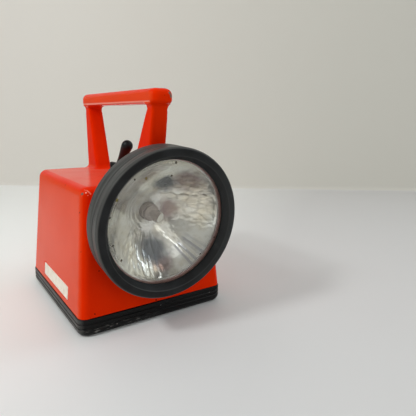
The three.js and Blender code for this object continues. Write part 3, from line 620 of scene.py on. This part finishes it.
# Moulded or worn surface: two tones in soft patches, roughness that follows them, and a fine grain
moulded_inputs = {"Clean": COLOUR, "Worn": COLOUR, "Patch Scale": VALUE, "Patch Share": VALUE,
                  "Smooth": VALUE, "Rough": VALUE, "Grain Scale": VALUE, "Grain Height": VALUE}
moulded, entry, result = new_group(
    "moulded_surface", moulded_inputs, {"Colour": COLOUR, "Roughness": VALUE, "Normal": PLACE},
)
where = place_of(moulded)
patches = clouds(where, entry["Patch Scale"], 5, 0.6)["Fac"]
spread = add_range(patches, 0.4, 0.68, 0, entry["Patch Share"])
dull = {"Factor": spread, "A": entry["Smooth"], "B": entry["Rough"]}
grain = clouds(where, entry["Grain Scale"], 3)["Fac"]
raised = {"Strength": 1, "Height": grain, "Distance": entry["Grain Height"]}
feed(result, {
    "Colour": mixed(spread, entry["Clean"], entry["Worn"]),
    "Roughness": add_node(moulded, "Mix", dull, data_type="FLOAT")["Result"],
    "Normal": add_node(moulded, "Bump", raised)["Normal"],
})

# A chip or stain at one place, with a ragged edge
placed, entry, result = new_group("placed_mark", {
    "Place": PLACE, "Radius": VALUE, "Ragged": VALUE, "Fineness": VALUE, "Core": VALUE, "Strength": VALUE,
}, {"Mask": VALUE})
where = place_of(placed)
shake = vectors("SUBTRACT", clouds(where, entry["Fineness"], 3)["Color"], (0.5, 0.5, 0.5))
shifted = vectors("ADD", where, vectors("MULTIPLY", shake, entry["Ragged"]))
share = maths("DIVIDE", vectors("DISTANCE", shifted, entry["Place"]), entry["Radius"])
feed(result, {"Mask": add_range(share, 1, entry["Core"], 0, entry["Strength"])})

# Scattered specks of dirt: a few of the cells of a pattern have a dot
specks, entry, result = new_group(
    "scattered_specks", {"Scale": VALUE, "Size": VALUE, "Share": VALUE}, {"Mask": VALUE},
)
cells = add_node(specks, "TexVoronoi", {"Vector": place_of(specks), "Scale": entry["Scale"]})
chance = add_node(specks, "SeparateColor", {"Color": cells["Color"]})["Red"]
dot = maths("LESS_THAN", cells["Distance"], entry["Size"])
feed(result, {"Mask": times(maths("LESS_THAN", chance, entry["Share"]), dot)})


def dress(shader, clean, worn, patch, dullness, grain):
    """Gives a shader the moulded surface: its tones, and as pairs the patches' scale and share,
    the least and most roughness, and the grain's scale and height."""
    values = dict(zip(moulded_inputs, (clean, worn, *patch, *dullness, *grain)))
    made = add_node(shader, "Group", values, node_tree=moulded)
    feed(shader.inputs, {
        "Base Color": made["Colour"], "Roughness": made["Roughness"], "Normal": made["Normal"],
    })


def lay(shader, mask, colour):
    """Lays a colour over what already feeds the shader's Base Color, where the mask is."""
    below = shader.inputs["Base Color"].links[0].from_socket
    feed(shader.inputs, {"Base Color": mixed(mask, below, colour)})


def speckled(owner, scale, size, share):
    """The mask of scattered specks."""
    inputs = {"Scale": scale, "Size": size, "Share": share}
    return add_node(owner, "Group", inputs, node_tree=specks)["Mask"]


def mark(owner, place, radius, ragged, fineness=700, core=0.7, strength=1):
    """The mask of a mark at one place."""
    inputs = {"Place": place, "Radius": radius, "Ragged": ragged,
              "Fineness": fineness, "Core": core, "Strength": strength}
    return add_node(owner, "Group", inputs, node_tree=placed)["Mask"]


def facing_of(owner):
    """The three parts of the direction that a surface faces."""
    return split(add_node(owner, "NewGeometry")["Normal"])


red_plastic, red = new_finish("red_plastic", {
    "Specular Tint": (1, 0.4, 0.22, 1), "Specular IOR Level": 0.06,
})
dress(red, tone(235, 46, 1), tone(226, 38, 1), (26, 0.8), (0.16, 0.3), (650, 0.000006))
red_place = place_of(red)
height = split(red_place)["Z"]
level = facing_of(red)
# Pale dust with a painted sheen lies on the top face; as painted light, the broad left sides, which
# face the main lamp, are paler and more orange, and the grip's lower edges carry a painted highlight
dust_and_sheen_patches = add_range(clouds(red_place, 55, 5, 0.65)["Fac"], 0.3, 0.7, 0.07, 0.13)
dust_and_sheen = times(add_range(level["Z"], 0.97, 1.0), dust_and_sheen_patches, add_range(height, 0.137, 0.134))
lay(red, dust_and_sheen, tone(255, 212, 182))
# Painted light: the broad left sides are painted paler and more orange where they face the main lamp
painted_light_heights = maths("MAXIMUM", add_range(height, 0.137, 0.133), add_range(height, 0.200, 0.203))
lay(red, times(add_range(level["X"], -0.7, -0.97, 0, 0.32), painted_light_heights), tone(228, 106, 58))
# Painted highlight along the grip's lower edges
painted_grip_highlight = times(
    add_range(height, 0.2005, 0.2015, 0, 0.6),
    add_range(level["Z"], -0.2, -0.35),
    add_range(level["Z"], -0.8, -0.62),
    add_range(level["Y"], -0.3, -0.12),
)
lay(red, painted_grip_highlight, tone(255, 186, 166))
lay(red, speckled(red, 75, 0.045, 0.12), tone(92, 22, 14))
# Dark pits in the walls, then at the front left corner an arc of pale marks and their bright middles,
# partly scratches and partly a painted highlight on the rounded corner, and last the grey chips there and on
# the grip's front end
for colour, marks in (
    (tone(60, 24, 18), (
        (-0.0566, 0.0135, 0.1316, 0.0007, 0.001), (-0.0620, -0.0830, 0.0204, 0.0007, 0.001),
        (-0.0555, -0.0802, 0.0583, 0.0006, 0.001), (-0.0688, -0.0750, 0.0767, 0.0005, 0.001),
        (-0.0644, -0.0260, 0.1275, 0.0006, 0.001), (-0.0017, -0.0832, 0.0184, 0.0009, 0.001),
    )),
    (tone(248, 132, 108), (
        (-0.0615, -0.0707, 0.1291, 0.0006, 0.0006), (-0.0606, -0.0716, 0.1289, 0.0007, 0.0006),
        (-0.0598, -0.0724, 0.1286, 0.0008, 0.0006), (-0.0593, -0.0731, 0.1280, 0.0008, 0.0006),
        (-0.0588, -0.0737, 0.1274, 0.0008, 0.0006), (-0.0583, -0.0741, 0.1268, 0.0008, 0.0006),
        (-0.0578, -0.0745, 0.1261, 0.0007, 0.0006), (-0.0601, -0.0743, 0.1250, 0.0006, 0.0006),
        (-0.0643, -0.0712, 0.1238, 0.0006, 0.0006),
    )),
    (tone(255, 186, 162), (
        (-0.0611, -0.0729, 0.1271, 0.0009, 0.001), (-0.0590, -0.0734, 0.1277, 0.0005, 0.0003),
    )),
    (tone(112, 104, 92), (
        (-0.0635, -0.0711, 0.1261, 0.0015, 0.0012), (0.0060, -0.0990, 0.2105, 0.0016, 0.0014),
        (0.0074, -0.0985, 0.2082, 0.0019, 0.0014),
    )),
):
    for x, y, z, radius, ragged in marks:
        lay(red, mark(red, (x, y, z), radius, ragged), colour)
shell.data.materials.append(red_plastic)
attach(shell, "lantern")
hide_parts("body_shell")

# Name plate: a thin cream plate low on the left side, in a shallow seat in the wall. It is bare.
# Its face is a little dirty, and its corners are a little round.
plate_rear, plate_front = 0.0344, -0.0468
plate_low, plate_high = 0.0231, 0.0356
plate_thickness = 0.0004
plate_seat = 0.0002
plate_ease = 0.0001
plate_corner = 0.0008
plate_lean = math.atan2((foot_width - top_width) / 2, body_top - seam)
plate_middle = (plate_low + plate_high) / 2
plate_centre = (body_limits(plate_middle)[0], (plate_rear + plate_front) / 2, plate_middle)
plate_frame = (
    Matrix.Translation(plate_centre)
    @ Matrix.Rotation(plate_lean, 4, "Y")
    @ Matrix.Rotation(-math.pi / 2, 4, "Y")
)
half_height, half_length = (plate_high - plate_low) / 2, (plate_rear - plate_front) / 2


def on_plate(bm, levels, radius, steps):
    """A stack of sheets on the plate's seat, its heights standing out from the wall."""
    stack_sheets(bm, levels, radius, steps)
    bmesh.ops.transform(bm, matrix=plate_frame, verts=bm.verts)


cream, cream_shader = new_finish("cream_plate", {})
dress(cream_shader, tone(253, 247, 233), tone(206, 188, 160), (160, 0.45), (0.4, 0.6), (1500, 0.00001))
lay(cream_shader, speckled(cream_shader, 420, 0.22, 0.16), tone(120, 100, 82))
plate_sides = (-half_height, half_height, -half_length, half_length)
eased_height, eased_length = half_height - plate_ease, half_length - plate_ease
name_plate = made_solid("bare_plate", [cream], on_plate, [
    (-plate_seat, plate_sides),
    (plate_thickness - plate_ease, plate_sides),
    (plate_thickness, (-eased_height, eased_height, -eased_length, eased_length)),
], plate_corner, 5)
smooth_faces(name_plate)
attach(name_plate, "lantern")

# Plate lip: a short upright rib moulded with the shell at the rear end of the plate's seat. It is
# part of the red moulding and keeps the plate from sliding back.
lip_width = 0.0011
lip_proud = 0.0007
lip_sunk = 0.0004
lip_over = 0.0011
lip_reach, lip_top_reach = half_height + lip_over, half_height + lip_over / 2
lip_foot = (-lip_reach, lip_reach, half_length, half_length + lip_width)
lip_top = (-lip_top_reach, lip_top_reach, half_length + lip_width / 4, half_length + lip_width * 3 / 4)
plate_lip = made_solid("plate_lip", [red_plastic], on_plate, [
    (-lip_sunk, lip_foot), (lip_proud / 2, lip_foot), (lip_proud, lip_top),
], lip_width / 5, 3)
smooth_faces(plate_lip)
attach(plate_lip, "lantern")

# Base boot: a thick black rubber tray that grips the foot of the shell. Its side has two moulded
# grooves, its lower edge is drawn in, and it is scuffed where it has been set down hard.
boot_top = 0.0168
boot_proud = 0.0009
boot_corner = 0.0089
boot_floor = 0.003
top_edge = ((0, 0.0008), (0.0003, 0.0003), (0.0008, 0))
groove_depth = 0.0007
groove_half = 0.0009
groove_shares = (0.72, 0.47)
foot_inset = 0.0044
foot_radius = 0.006
foot_steps = 7
pocket_clearance = 0.00025
screw_hole_radius = 0.0055
contact_hole_radius = 0.0075
contact_x, contact_y = 0.024, -0.048


def boot_body(bm):
    """The outside of the boot, from its top down to its foot."""
    levels = [(boot_top - drop, inset) for drop, inset in top_edge]
    for share in groove_shares:
        for across in (1, 0.6, 0, -0.6, -1):
            levels.append((boot_top * share + groove_half * across, groove_depth * (1 - across * across)))
    for step in range(foot_steps + 1):
        angle = math.pi / 2 * step / foot_steps
        levels.append((foot_radius * (1 - math.sin(angle)), foot_inset * (1 - math.cos(angle))))
    stack_sheets(bm, [(z, body_limits(seam, inset - boot_proud)) for z, inset in levels], boot_corner)


boot = made_solid("rubber_boot", [], boot_body)
pocket_inset = tongue_inset - pocket_clearance
pocket = [(z, body_limits(z, pocket_inset)) for z in (boot_floor, boot_top + overrun)]
holes = [(x, y, screw_hole_radius) for x, y in screw_places]
holes += [(side * contact_x, contact_y, contact_hole_radius) for side in (-1, 1)]
carve(boot, [
    cutter(stack_sheets, pocket, tongue_corner + pocket_clearance),
    *[cutter(post_tool, x, y, -overrun, boot_floor + overrun, radius) for x, y, radius in holes],
])
smooth_faces(boot, 40)
boot_rubber, rubber = new_finish("boot_rubber", {"Specular IOR Level": 0.18})
dress(rubber, tone(5, 5, 5), tone(22, 22, 23), (55, 0.5), (0.36, 0.6), (500, 0.00006))
lay(rubber, speckled(rubber, 330, 0.2, 0.06), tone(120, 118, 114))
# Its left side, which faces the main lamp, is painted greyer as a painted sheen, and the scuffs run along
# the lower front left corner
lay(rubber, add_range(facing_of(rubber)["X"], -0.5, -0.95, 0, 0.6), tone(92, 92, 90))
boot_place = place_of(rubber)
boot_at = split(boot_place)
scuffs = clouds(vectors("MULTIPLY", boot_place, (150, 150, 900)), 1, 4, 0.7)["Fac"]
lay(rubber, times(
    add_range(scuffs, 0.54, 0.66),
    add_range(boot_at["Z"], 0.0085, 0.005),
    add_range(boot_at["X"], 0.01, -0.045),
    add_range(boot_at["Y"], -0.06, -0.078),
), tone(128, 126, 122))
boot.data.materials.append(boot_rubber)
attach(boot, "lantern")
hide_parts("base_boot")

# Lamp ring: a thick bezel moulded in black rubber, stretched over the collar. Its lip slopes in to
# the glass, one groove runs round its wall, and the wall is grey with dust and wear.
lens_radius = 0.057
lip_radius = 0.061
lip_rear = 0.008
ring_radius = 0.0685
ring_taper = 0.001
front_round = 0.003
rear_round = 0.0015
lip_ease = 0.0002
slope_front, slope_rear, slope_end = 0.0003, 0.0061, 0.0066
groove_place = 0.0118
groove_edge, groove_shoulder = 0.0012, 0.0006
shoulder_deep, groove_deep = 0.0003, 0.001
bore_radius = collar_radius + 0.0003


def ring_wall(depth):
    """Radius of the ring's slightly tapered wall at a depth."""
    return ring_radius - ring_taper * depth / ring_depth


ring_profile = [
    (lens_radius, lip_rear),
    (lens_radius, slope_end),
    (lens_radius + lip_ease, slope_rear),
    (lip_radius - lip_ease, slope_front),
    (lip_radius + lip_ease, 0),
    *arc(ring_radius - front_round, front_round, front_round, -90, 0, 8),
    (ring_wall(groove_place - groove_edge), groove_place - groove_edge),
    (ring_wall(groove_place) - shoulder_deep, groove_place - groove_shoulder),
    (ring_wall(groove_place) - groove_deep, groove_place),
    (ring_wall(groove_place) - shoulder_deep, groove_place + groove_shoulder),
    (ring_wall(groove_place + groove_edge), groove_place + groove_edge),
    *arc(ring_wall(ring_depth) - rear_round, ring_depth - rear_round, rear_round, 0, 90, 5),
    (bore_radius, ring_depth),
    (bore_radius, collar_front),
    (lip_radius, collar_front),
    (lip_radius, lip_rear),
]

# A point's place on the lamp's own axes, with its radius and its depth behind the ring's front
lamp_axis, _, result = new_group("lamp_axis", {}, {"Vector": PLACE, "Radius": VALUE, "Depth": VALUE})
local = add_node(lamp_axis, "Mapping", {
    "Vector": place_of(lamp_axis), "Location": head_centre, "Rotation": (head_lean, 0, 0),
}, vector_type="TEXTURE")["Vector"]
parts = split(local)
flat = add_node(lamp_axis, "CombineXYZ", {"X": parts["X"], "Z": parts["Z"]})["Vector"]
feed(result, {"Vector": local, "Radius": vectors("LENGTH", flat), "Depth": parts["Y"]})

ring_rubber, rubber = new_finish("ring_rubber", {"Specular IOR Level": 0.2})
dress(rubber, tone(19, 19, 20), tone(42, 44, 45), (45, 0.6), (0.42, 0.62), (420, 0.00005))
axis = add_node(rubber, "Group", node_tree=lamp_axis)
radius, depth = axis["Radius"], axis["Depth"]
streaks = clouds(vectors("MULTIPLY", axis["Vector"], (14, 480, 14)), 1, 4, 0.6)["Fac"]
# In turn: dust on the wall, a painted highlight along the front edge, a painted sheen on the right side, and
# a lighter streaky line round the lip
for colour, shares in (
    (tone(80, 81, 79), (
        add_range(radius, 0.0664, 0.0672),
        add_range(depth, 0.0010, 0.0020),
        add_range(streaks, 0.36, 0.6, 0.3, 1.0),
    )),
    (tone(118, 118, 114), (
        add_range(depth, 0.0003, 0.0008),
        add_range(depth, 0.0021, 0.0014),
        add_range(radius, 0.0664, 0.0669, 0, 0.3),
    )),
    (tone(64, 66, 66), (add_range(split(axis["Vector"])["X"], 0.02, 0.065, 0, 0.5),)),
    (tone(62, 63, 62), (
        add_range(radius, 0.0604, 0.0608),
        add_range(radius, 0.0615, 0.0611),
        add_range(streaks, 0.35, 0.65, 0.25, 0.9),
    )),
):
    lay(rubber, times(*shares), colour)
ring = made_solid("rubber_ring", [ring_rubber], spun, ring_profile, head_steps, head_place)
smooth_faces(ring, 40)
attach(ring, "lantern")
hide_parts("lamp_ring")

# Front glass: a pressed clear disc, crowned a little, held by the ring's lip. Old dirt has crept in
# round its rim in small brown and black specks.
lens_front = 0.0083
lens_edge = 0.0606
lens_back = lens_front + 0.003
crown = 0.0022
crown_radius = lens_radius - 0.0003
crown_steps = 130
rim_ridges = (0.0527, 0.0545)
rim_ridge_width = 0.0004
rim_ridge_height = 0.00016


def lens_face(radius):
    """Depth of the crowned front of the glass, with its fine ridges near the rim."""
    ridges = sum(math.exp(-((radius - place) / rim_ridge_width) ** 2) for place in rim_ridges)
    return lens_front - crown * (1 - (radius / crown_radius) ** 2) - rim_ridge_height * ridges


def on_lamp(x, depth, z):
    """A place given across, behind and above the middle of the ring's front."""
    return head_place @ Vector((x, depth, z))


clear_glass, glass = new_finish("clear_glass", {
    "Roughness": 0.02, "Transmission Weight": 1, "IOR": 1.5,
})
haze = add_range(clouds(place_of(glass), 60, 4)["Fac"], 0.4, 0.7)
feed(glass.inputs, {"Base Color": mixed(haze, (1, 1, 1, 1), (0.95, 0.94, 0.92, 1))})
for colour, ragged, marks in (
    (tone(54, 40, 30), 0.0012, (
        (-0.0545, 0.0082, 0.0122, 0.0012), (-0.0520, 0.0081, -0.0121, 0.0012),
        (-0.0446, 0.0080, -0.0265, 0.0013), (-0.0333, 0.0081, 0.0419, 0.0011),
        (0.0047, 0.0081, 0.0539, 0.0014), (0.0004, 0.0074, 0.0428, 0.0012),
        (0.0505, 0.0082, -0.0214, 0.0011), (0.0355, 0.0079, -0.0354, 0.0011),
    )),
    (tone(138, 118, 40), 0.0018, (
        (-0.0487, 0.0082, 0.0264, 0.0018), (-0.0231, 0.0077, 0.0423, 0.0015),
    )),
):
    for x, depth, z, radius in marks:
        lay(glass, mark(glass, on_lamp(x, depth, z), radius, ragged), colour)
crown_radii = [crown_radius * step / crown_steps for step in range(crown_steps + 1)]
front_lens = made_solid("front_lens", [clear_glass], spun, [
    *[(radius, lens_face(radius)) for radius in crown_radii],
    (lens_edge, lens_front),
    (lens_edge, lens_back),
    (0, lens_back),
], head_steps, head_place)
smooth_faces(front_lens)
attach(front_lens, "lantern")
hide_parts("front_glass")

# Lens gasket: a soft ring of pinkish silicone rubber between the glass and the reflector's rim. Its
# inner edge shows through the glass as a dull pink line.
gasket_gap = 0.0003
gasket_front = lens_back + gasket_gap
gasket_rear = gasket_front + 0.0018
gasket_inner = 0.0558
gasket_round = 0.0004
round_middle = gasket_inner + gasket_round
silicone, silicone_shader = new_finish("gasket_silicone", {})
dress(silicone_shader, tone(208, 166, 156), tone(156, 118, 110), (90, 0.7), (0.45, 0.65), (720, 0.00002))
lens_gasket = made_solid("lens_gasket", [silicone], spun, [
    (lens_edge, gasket_front),
    (lens_edge, gasket_rear),
    *arc(round_middle, gasket_rear - gasket_round, gasket_round, 90, 180, 3),
    *arc(round_middle, gasket_front + gasket_round, gasket_round, 180, 270, 3),
], head_steps, head_place)
smooth_faces(lens_gasket, 40)
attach(lens_gasket, "lantern")
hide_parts("glass_gasket")

# Reflector: a dish pressed from thin sheet and silvered, with rings round its neck. Its surface is
# beaten into small hollows that spread the light, with a few broad flutes at its lower right rim.
flange_front = gasket_rear + gasket_gap
dish_radius = collar_radius - 2 * collar_wall
dish_depth = 0.036
dish_vertex = flange_front + dish_depth
dish_wall = 0.001
rim_flat, rim_shoulder, rim_drop = 0.0009, 0.0003, 0.0002
dish_rings = 120
dish_turns = 560
neck_radius = 0.0084
neck_length = 0.005
neck_rings = ((0.0125, 0.0008), (0.0172, 0.0007), (0.0208, 0.0006), (0.0240, 0.0005))
neck_ring_height = 0.0002
facet_size = 0.0056
facet_tilt = 0.07
facet_blend = 0.09
facet_hollow = 0.00085
facet_strides = (0.0110, 0.0048)
flame_angle = 1.95
flute_width = math.radians(13)
flute_height = 0.00022
flute_middle = math.radians(-39)
flute_reach = math.radians(22)
# Fixes the draw of the hollows' tilts, which would otherwise change with the clock
tilt_seed = 1796057446
noise.seed_set(tilt_seed)


def fade(value, low, high):
    """0 up to low, 1 from high, and a smooth rise between."""
    share = min(1, max(0, (value - low) / (high - low)))
    return share * share * (3 - 2 * share)


def facets(place, sizes, tilted):
    """Relief of a field of shallow hollows, each with a small tilt of its own."""
    distances, centres = noise.voronoi(Vector((place[0] / sizes[0], place[1] / sizes[1], 0.2)))
    total, weights = 0, 0
    for distance, centre in zip(distances, centres):
        weight = math.exp(-(distance * distance - distances[0] ** 2) / facet_blend)
        tilt = noise.noise_vector(centre * 3.7) * tilted
        lean = (place[0] - centre.x * sizes[0]) * tilt.x + (place[1] - centre.y * sizes[1]) * tilt.y
        total += weight * lean
        weights += weight
    return total / weights - facet_hollow * distances[0] ** 2


def dish_relief(x, z):
    """How far the polished side stands off its smooth curve: it is beaten most at the lower left,
    where the hollows are long like flames, and at the upper right."""
    radius = math.hypot(x, z)
    angle = math.atan2(z, x)
    rings = sum(math.exp(-((radius - place) / width) ** 2) for place, width in neck_rings)
    rings *= fade(-math.cos(angle - 0.35), -0.3, 0.7)
    turn = (angle - flute_middle) / flute_width
    bulge = 1 - (2 * (turn - math.floor(turn)) - 1) ** 2
    fluted = fade(flute_reach - abs(angle - flute_middle), 0, 0.12) * fade(radius, 0.033, 0.042)
    around = angle * dish_radius * 0.8
    flames = fade(0.75 - abs(angle + flame_angle), 0, 0.25)
    beat = facets((radius, around), facet_strides, 1.6 * facet_tilt) * flames
    beat += facets((x, z), (facet_size, facet_size), facet_tilt) * (1 - flames)
    lower_left = math.exp(-((angle + flame_angle) / 0.6) ** 2)
    upper_right = math.exp(-((angle - 0.4) / 0.9) ** 2)
    beat *= 0.28 + max(0.8 * lower_left, 0.9 * upper_right)
    beat *= fade(radius, 0.015, 0.026) * fade(dish_radius - radius, 0.0003, 0.0025)
    return beat * (1 - fluted) - rings * neck_ring_height + bulge * fluted * flute_height


def dish_depth_at(radius):
    """Depth of the smooth curve of the dish."""
    return dish_vertex - dish_depth * (radius / dish_radius) ** 2


def dish_body(bm):
    """The dish with its flange and its neck, and the relief of its polished side."""
    radii = [dish_radius + (neck_radius - dish_radius) * step / dish_rings for step in range(dish_rings + 1)]
    rear_radii = [neck_radius, 0.018, 0.028, 0.038, 0.048, dish_radius]
    spun(bm, [
        (lens_edge, flange_front),
        (dish_radius + rim_flat, flange_front),
        (dish_radius + rim_shoulder, flange_front + rim_drop),
        *[(radius, dish_depth_at(radius)) for radius in radii],
        (neck_radius, dish_vertex + neck_length),
        (neck_radius + dish_wall, dish_vertex + neck_length),
        *[(radius + dish_wall, dish_depth_at(radius) + dish_wall) for radius in rear_radii],
        (lens_edge, flange_front + dish_wall),
    ], dish_turns)
    for vert in bm.verts:
        radius = math.hypot(vert.co.x, vert.co.z)
        inside = neck_radius + dish_wall < radius < dish_radius - rim_shoulder
        if inside and abs(vert.co.y - dish_depth_at(radius)) < dish_wall / 10:
            vert.co.y += dish_relief(vert.co.x, vert.co.z)
    bmesh.ops.transform(bm, matrix=head_place, verts=bm.verts)


bright, mirror = new_finish("bright_dish", {})
dress(mirror, tone(252, 254, 247), tone(229, 224, 205), (70, 0.85), (0.05, 0.2), (260, 0.0001))
lay(mirror, times(speckled(mirror, 420, 0.34, 0.4), 0.25), tone(150, 140, 124))
# Painted reflections on the silvering: mauve and grey patches, cream cells at the right with painted shade
# at their borders, and strips of painted shade with painted highlights at their edges at the lower right rim
for painted_reflection_tone, places in (
    (tone(142, 116, 111), ((0.0290, 0.0284, 0.0324, 0.0175), (0.0190, 0.0440, 0.0010, 0.0125),
                           (0.0040, 0.0250, -0.0440, 0.0135))),
    (tone(88, 95, 102), ((0.0115, 0.0380, 0.0270, 0.0130), (-0.0010, 0.0340, -0.0320, 0.0200),
                         (-0.0470, 0.0190, 0.0170, 0.0110))),
):
    for x, depth, z, radius in places:
        lay(mirror, mark(mirror, on_lamp(x, depth, z), radius, 0.012, 160, 0.45, 0.92), painted_reflection_tone)
axis = add_node(mirror, "Group", node_tree=lamp_axis)
flat = vectors("MULTIPLY", axis["Vector"], (135, 0, 225))
waved = vectors("ADD", flat, clouds(flat, 0.45, 2)["Color"])
cell_inputs = {"Vector": waved, "Scale": 1}
cells = add_node(mirror, "TexVoronoi", cell_inputs, feature="SMOOTH_F1")["Color"]
shaded_borders = add_node(mirror, "TexVoronoi", cell_inputs, feature="DISTANCE_TO_EDGE")["Distance"]
cell_share = add_node(mirror, "SeparateColor", {"Color": cells})["Green"]
# Painted reflection: cream cells at the right, and painted shade along their borders
cream_reflection_area = mark(mirror, on_lamp(0.038, 0.030, 0.010), 0.030, 0.016, 60, 0.3, 0.85)
lay(mirror, times(cell_share, cream_reflection_area), tone(255, 244, 214))
lay(mirror, times(add_range(shaded_borders, 0.2, 0.0, 0.0, 0.5), cream_reflection_area), tone(150, 140, 126))

# Painted shade and highlight on the lower right rim: strips of random painted shade with bright painted
# edges
strip_degrees = 3.3
parts = split(axis["Vector"])
angle = maths("ARCTAN2", parts["Z"], parts["X"])
strip_turn = maths("MULTIPLY", angle, 180 / math.pi / strip_degrees)
strip_number = {"W": maths("FLOOR", strip_turn)}
strip_shade = add_node(mirror, "TexWhiteNoise", strip_number, noise_dimensions="1D")["Value"]
strip_highlights = add_range(maths("FRACT", strip_turn), 0.1, 0.02)
strip_area = times(
    add_range(axis["Radius"], 0.036, 0.039),
    add_range(angle, -1.10, -1.04),
    add_range(angle, -0.56, -0.64),
)
lay(mirror, times(strip_shade, strip_area), tone(178, 180, 184))
lay(mirror, times(strip_highlights, strip_area), tone(255, 255, 255))
# It mirrors less at its rim edge, and where it has clouded at the upper left and the middle
clouded = add_range(axis["Radius"], 0.0549, 0.0552)
lay(mirror, clouded, tone(255, 253, 246))
for x, depth, z, radius in (
    (-0.030, 0.034, 0.034, 0.022), (-0.004, 0.024, 0.046, 0.011), (-0.006, 0.046, 0.006, 0.021),
):
    cloud = mark(mirror, on_lamp(x, depth, z), radius, 0.016, 70, 0.3)
    clouded = maths("MAXIMUM", clouded, cloud)
feed(mirror.inputs, {"Metallic": add_range(clouded, 0, 1, 0.70, 0.16)})
dish = made_solid("silvered_dish", [bright], dish_body)
smooth_faces(dish, 50)
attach(dish, "lantern")
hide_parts("reflector")

# Bulb: a small prefocus bulb in a flanged cap, pushed into a holder through the dish's neck. Its
# glass is thin and a little sooty, and has a round end.
bulb_rear = dish_vertex - 0.0088
bulb_radius = 0.0056
bulb_length = 0.016
bulb_finish, bulb_shader = new_finish("bulb_glass", {
    "Roughness": 0.03, "Transmission Weight": 1, "IOR": 1.12,
})
soot = add_range(clouds(place_of(bulb_shader), 220, 3)["Fac"], 0.45, 0.7)
feed(bulb_shader.inputs, {"Base Color": mixed(soot, (0.96, 0.96, 0.94, 1), (0.78, 0.76, 0.72, 1))})
bulb = made_solid("small_bulb", [bulb_finish], spun, [
    (0, bulb_rear),
    (bulb_radius * 0.55, bulb_rear),
    (bulb_radius * 0.62, bulb_rear - 0.002),
    *arc(0, bulb_rear - bulb_length + bulb_radius, bulb_radius, 30, -90, 12)[:-1],
    (0, bulb_rear - bulb_length),
], 48, head_place)
smooth_faces(bulb, 50)
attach(bulb, "lantern")
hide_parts("bulb_glass")

# Switch: a black club-shaped lever on a pin in a slotted black turret. Both are moulded plastic,
# and the turret's flange sits on a rubber seal on the top face.
pivot = Vector((0, switch_y, 0.1364))
pin_bore = 0.00126
barrel_radius, barrel_length = 0.0044, 0.0075
room_radius, room_length = 0.00465, 0.008
lever_bore_length, turret_bore_length = 0.02, 0.03
lever_lean = math.radians(46)
lever_length = 0.0365
lever_root = 0.0035
lever_knob = 0.0057
lever_swell = ((0, 1.0), (0.12, 1.0), (0.25, 1.0), (0.36, 1.03), (0.5, 1.13), (0.62, 1.25),
               (0.74, 1.38), (0.84, 1.5), (0.92, 1.58))
lever_frame = Matrix.Translation(pivot) @ Matrix.Rotation(lever_lean + math.pi / 2, 4, "X")
turret_frame = Matrix.Translation((0, switch_y, 0)) @ Matrix.Rotation(math.pi / 2, 4, "X")
turret_top = body_top + 0.0116
turret_radius = 0.008
turret_round = 0.0016
stem_low = 0.1244
stem_radius = 0.0062
flange_radius = 0.0096
flange_low = body_top + 0.0018
flange_high = flange_low + 0.0018
flange_ease = 0.0004
slot_half_width = 0.004
slot_reach = 0.012


def across_post(bm, radius, length):
    """A round post that lies across the lantern at the pivot."""
    round_post(bm, pivot, radius, length, lie=Matrix.Rotation(math.pi / 2, 4, "Y"))


black_plastic, black = new_finish("black_plastic", {"Specular IOR Level": 0.22})
dress(black, tone(12, 20, 22), tone(24, 32, 34), (120, 0.5), (0.38, 0.5), (900, 0.00003))
lever = made_solid("club_lever", [], spun, [
    (0, 0),
    *[(lever_root * size, lever_length * share) for share, size in lever_swell],
    *arc(0, lever_length, lever_knob, 0, 90, 10)[:-1],
    (0, lever_length + lever_knob),
], 48, lever_frame)
carve(lever, [cutter(across_post, barrel_radius, barrel_length)], "UNION")
carve(lever, [cutter(across_post, pin_bore, lever_bore_length)])
smooth_faces(lever, 40)
lever.data.materials.append(black_plastic)
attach(lever, "lever")
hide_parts("switch_lever")

turret = made_solid("slotted_turret", [], spun, [
    (0, stem_low),
    (stem_radius, stem_low),
    (stem_radius, flange_low),
    (flange_radius - flange_ease, flange_low),
    (flange_radius, flange_low + flange_ease),
    (flange_radius, flange_high - flange_ease),
    (flange_radius - flange_ease, flange_high),
    (turret_radius, flange_high),
    *arc(turret_radius - turret_round, turret_top - turret_round, turret_round, 0, 90, 6),
    (0, turret_top),
], 64, turret_frame)
slot_low = (-slot_half_width, switch_y - slot_reach, flange_high)
slot_high = (slot_half_width, switch_y + slot_reach, turret_top + overrun)
carve(turret, [
    cutter(box_tool, slot_low, slot_high),
    cutter(across_post, room_radius, room_length),
    cutter(across_post, pin_bore, turret_bore_length),
])
smooth_faces(turret, 40)
turret.data.materials.append(black_plastic)
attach(turret, "lantern")
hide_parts("switch_bushing")

# Hidden pieces: the bulb's cap and holder, which show dimly through the bulb, the switch's inside,
# the base plate and all that stands in the body. Their shapes come from the CAD model, and each
# finish has its own wear.
finishes = {"boot_rubber": boot_rubber, "black_plastic": black_plastic}
for name, clean, worn, smooth, rough, metallic, scale, grain in (
    ("brass", (116, 104, 80), (72, 62, 46), 0.42, 0.6, 1, 160, 1280),
    ("zinc_steel", (172, 172, 170), (118, 116, 110), 0.3, 0.52, 1, 140, 1120),
    ("battery_case", (96, 100, 102), (66, 68, 70), 0.42, 0.6, 0, 60, 480),
    ("switch_resin", (92, 56, 38), (60, 38, 28), 0.35, 0.55, 0, 110, 880),
    ("red_insulation", (176, 34, 26), (122, 24, 20), 0.35, 0.5, 0, 150, 1200),
    ("black_insulation", (34, 34, 36), (58, 56, 56), 0.38, 0.55, 0, 150, 1200),
    ("plated_cap", (206, 196, 186), (168, 154, 146), 0.35, 0.55, 0.45, 160, 1300),
    ("holder_resin", (192, 180, 170), (150, 134, 128), 0.5, 0.7, 0, 160, 1300),
):
    finishes[name], shader = new_finish(name, {"Metallic": metallic})
    dress(shader, tone(*clean), tone(*worn), (scale, 0.7), (smooth, rough), (grain, 0.00002))
own_finishes = {"bulb_cap": "plated_cap", "bulb_holder": "holder_resin"}
for part in frame["record"]["subparts"]:
    finish = finishes.get(own_finishes.get(part["node"], part["material_slot"]))
    if finish is not None:
        nodes[part["node"]].material_slots[0].material = finish
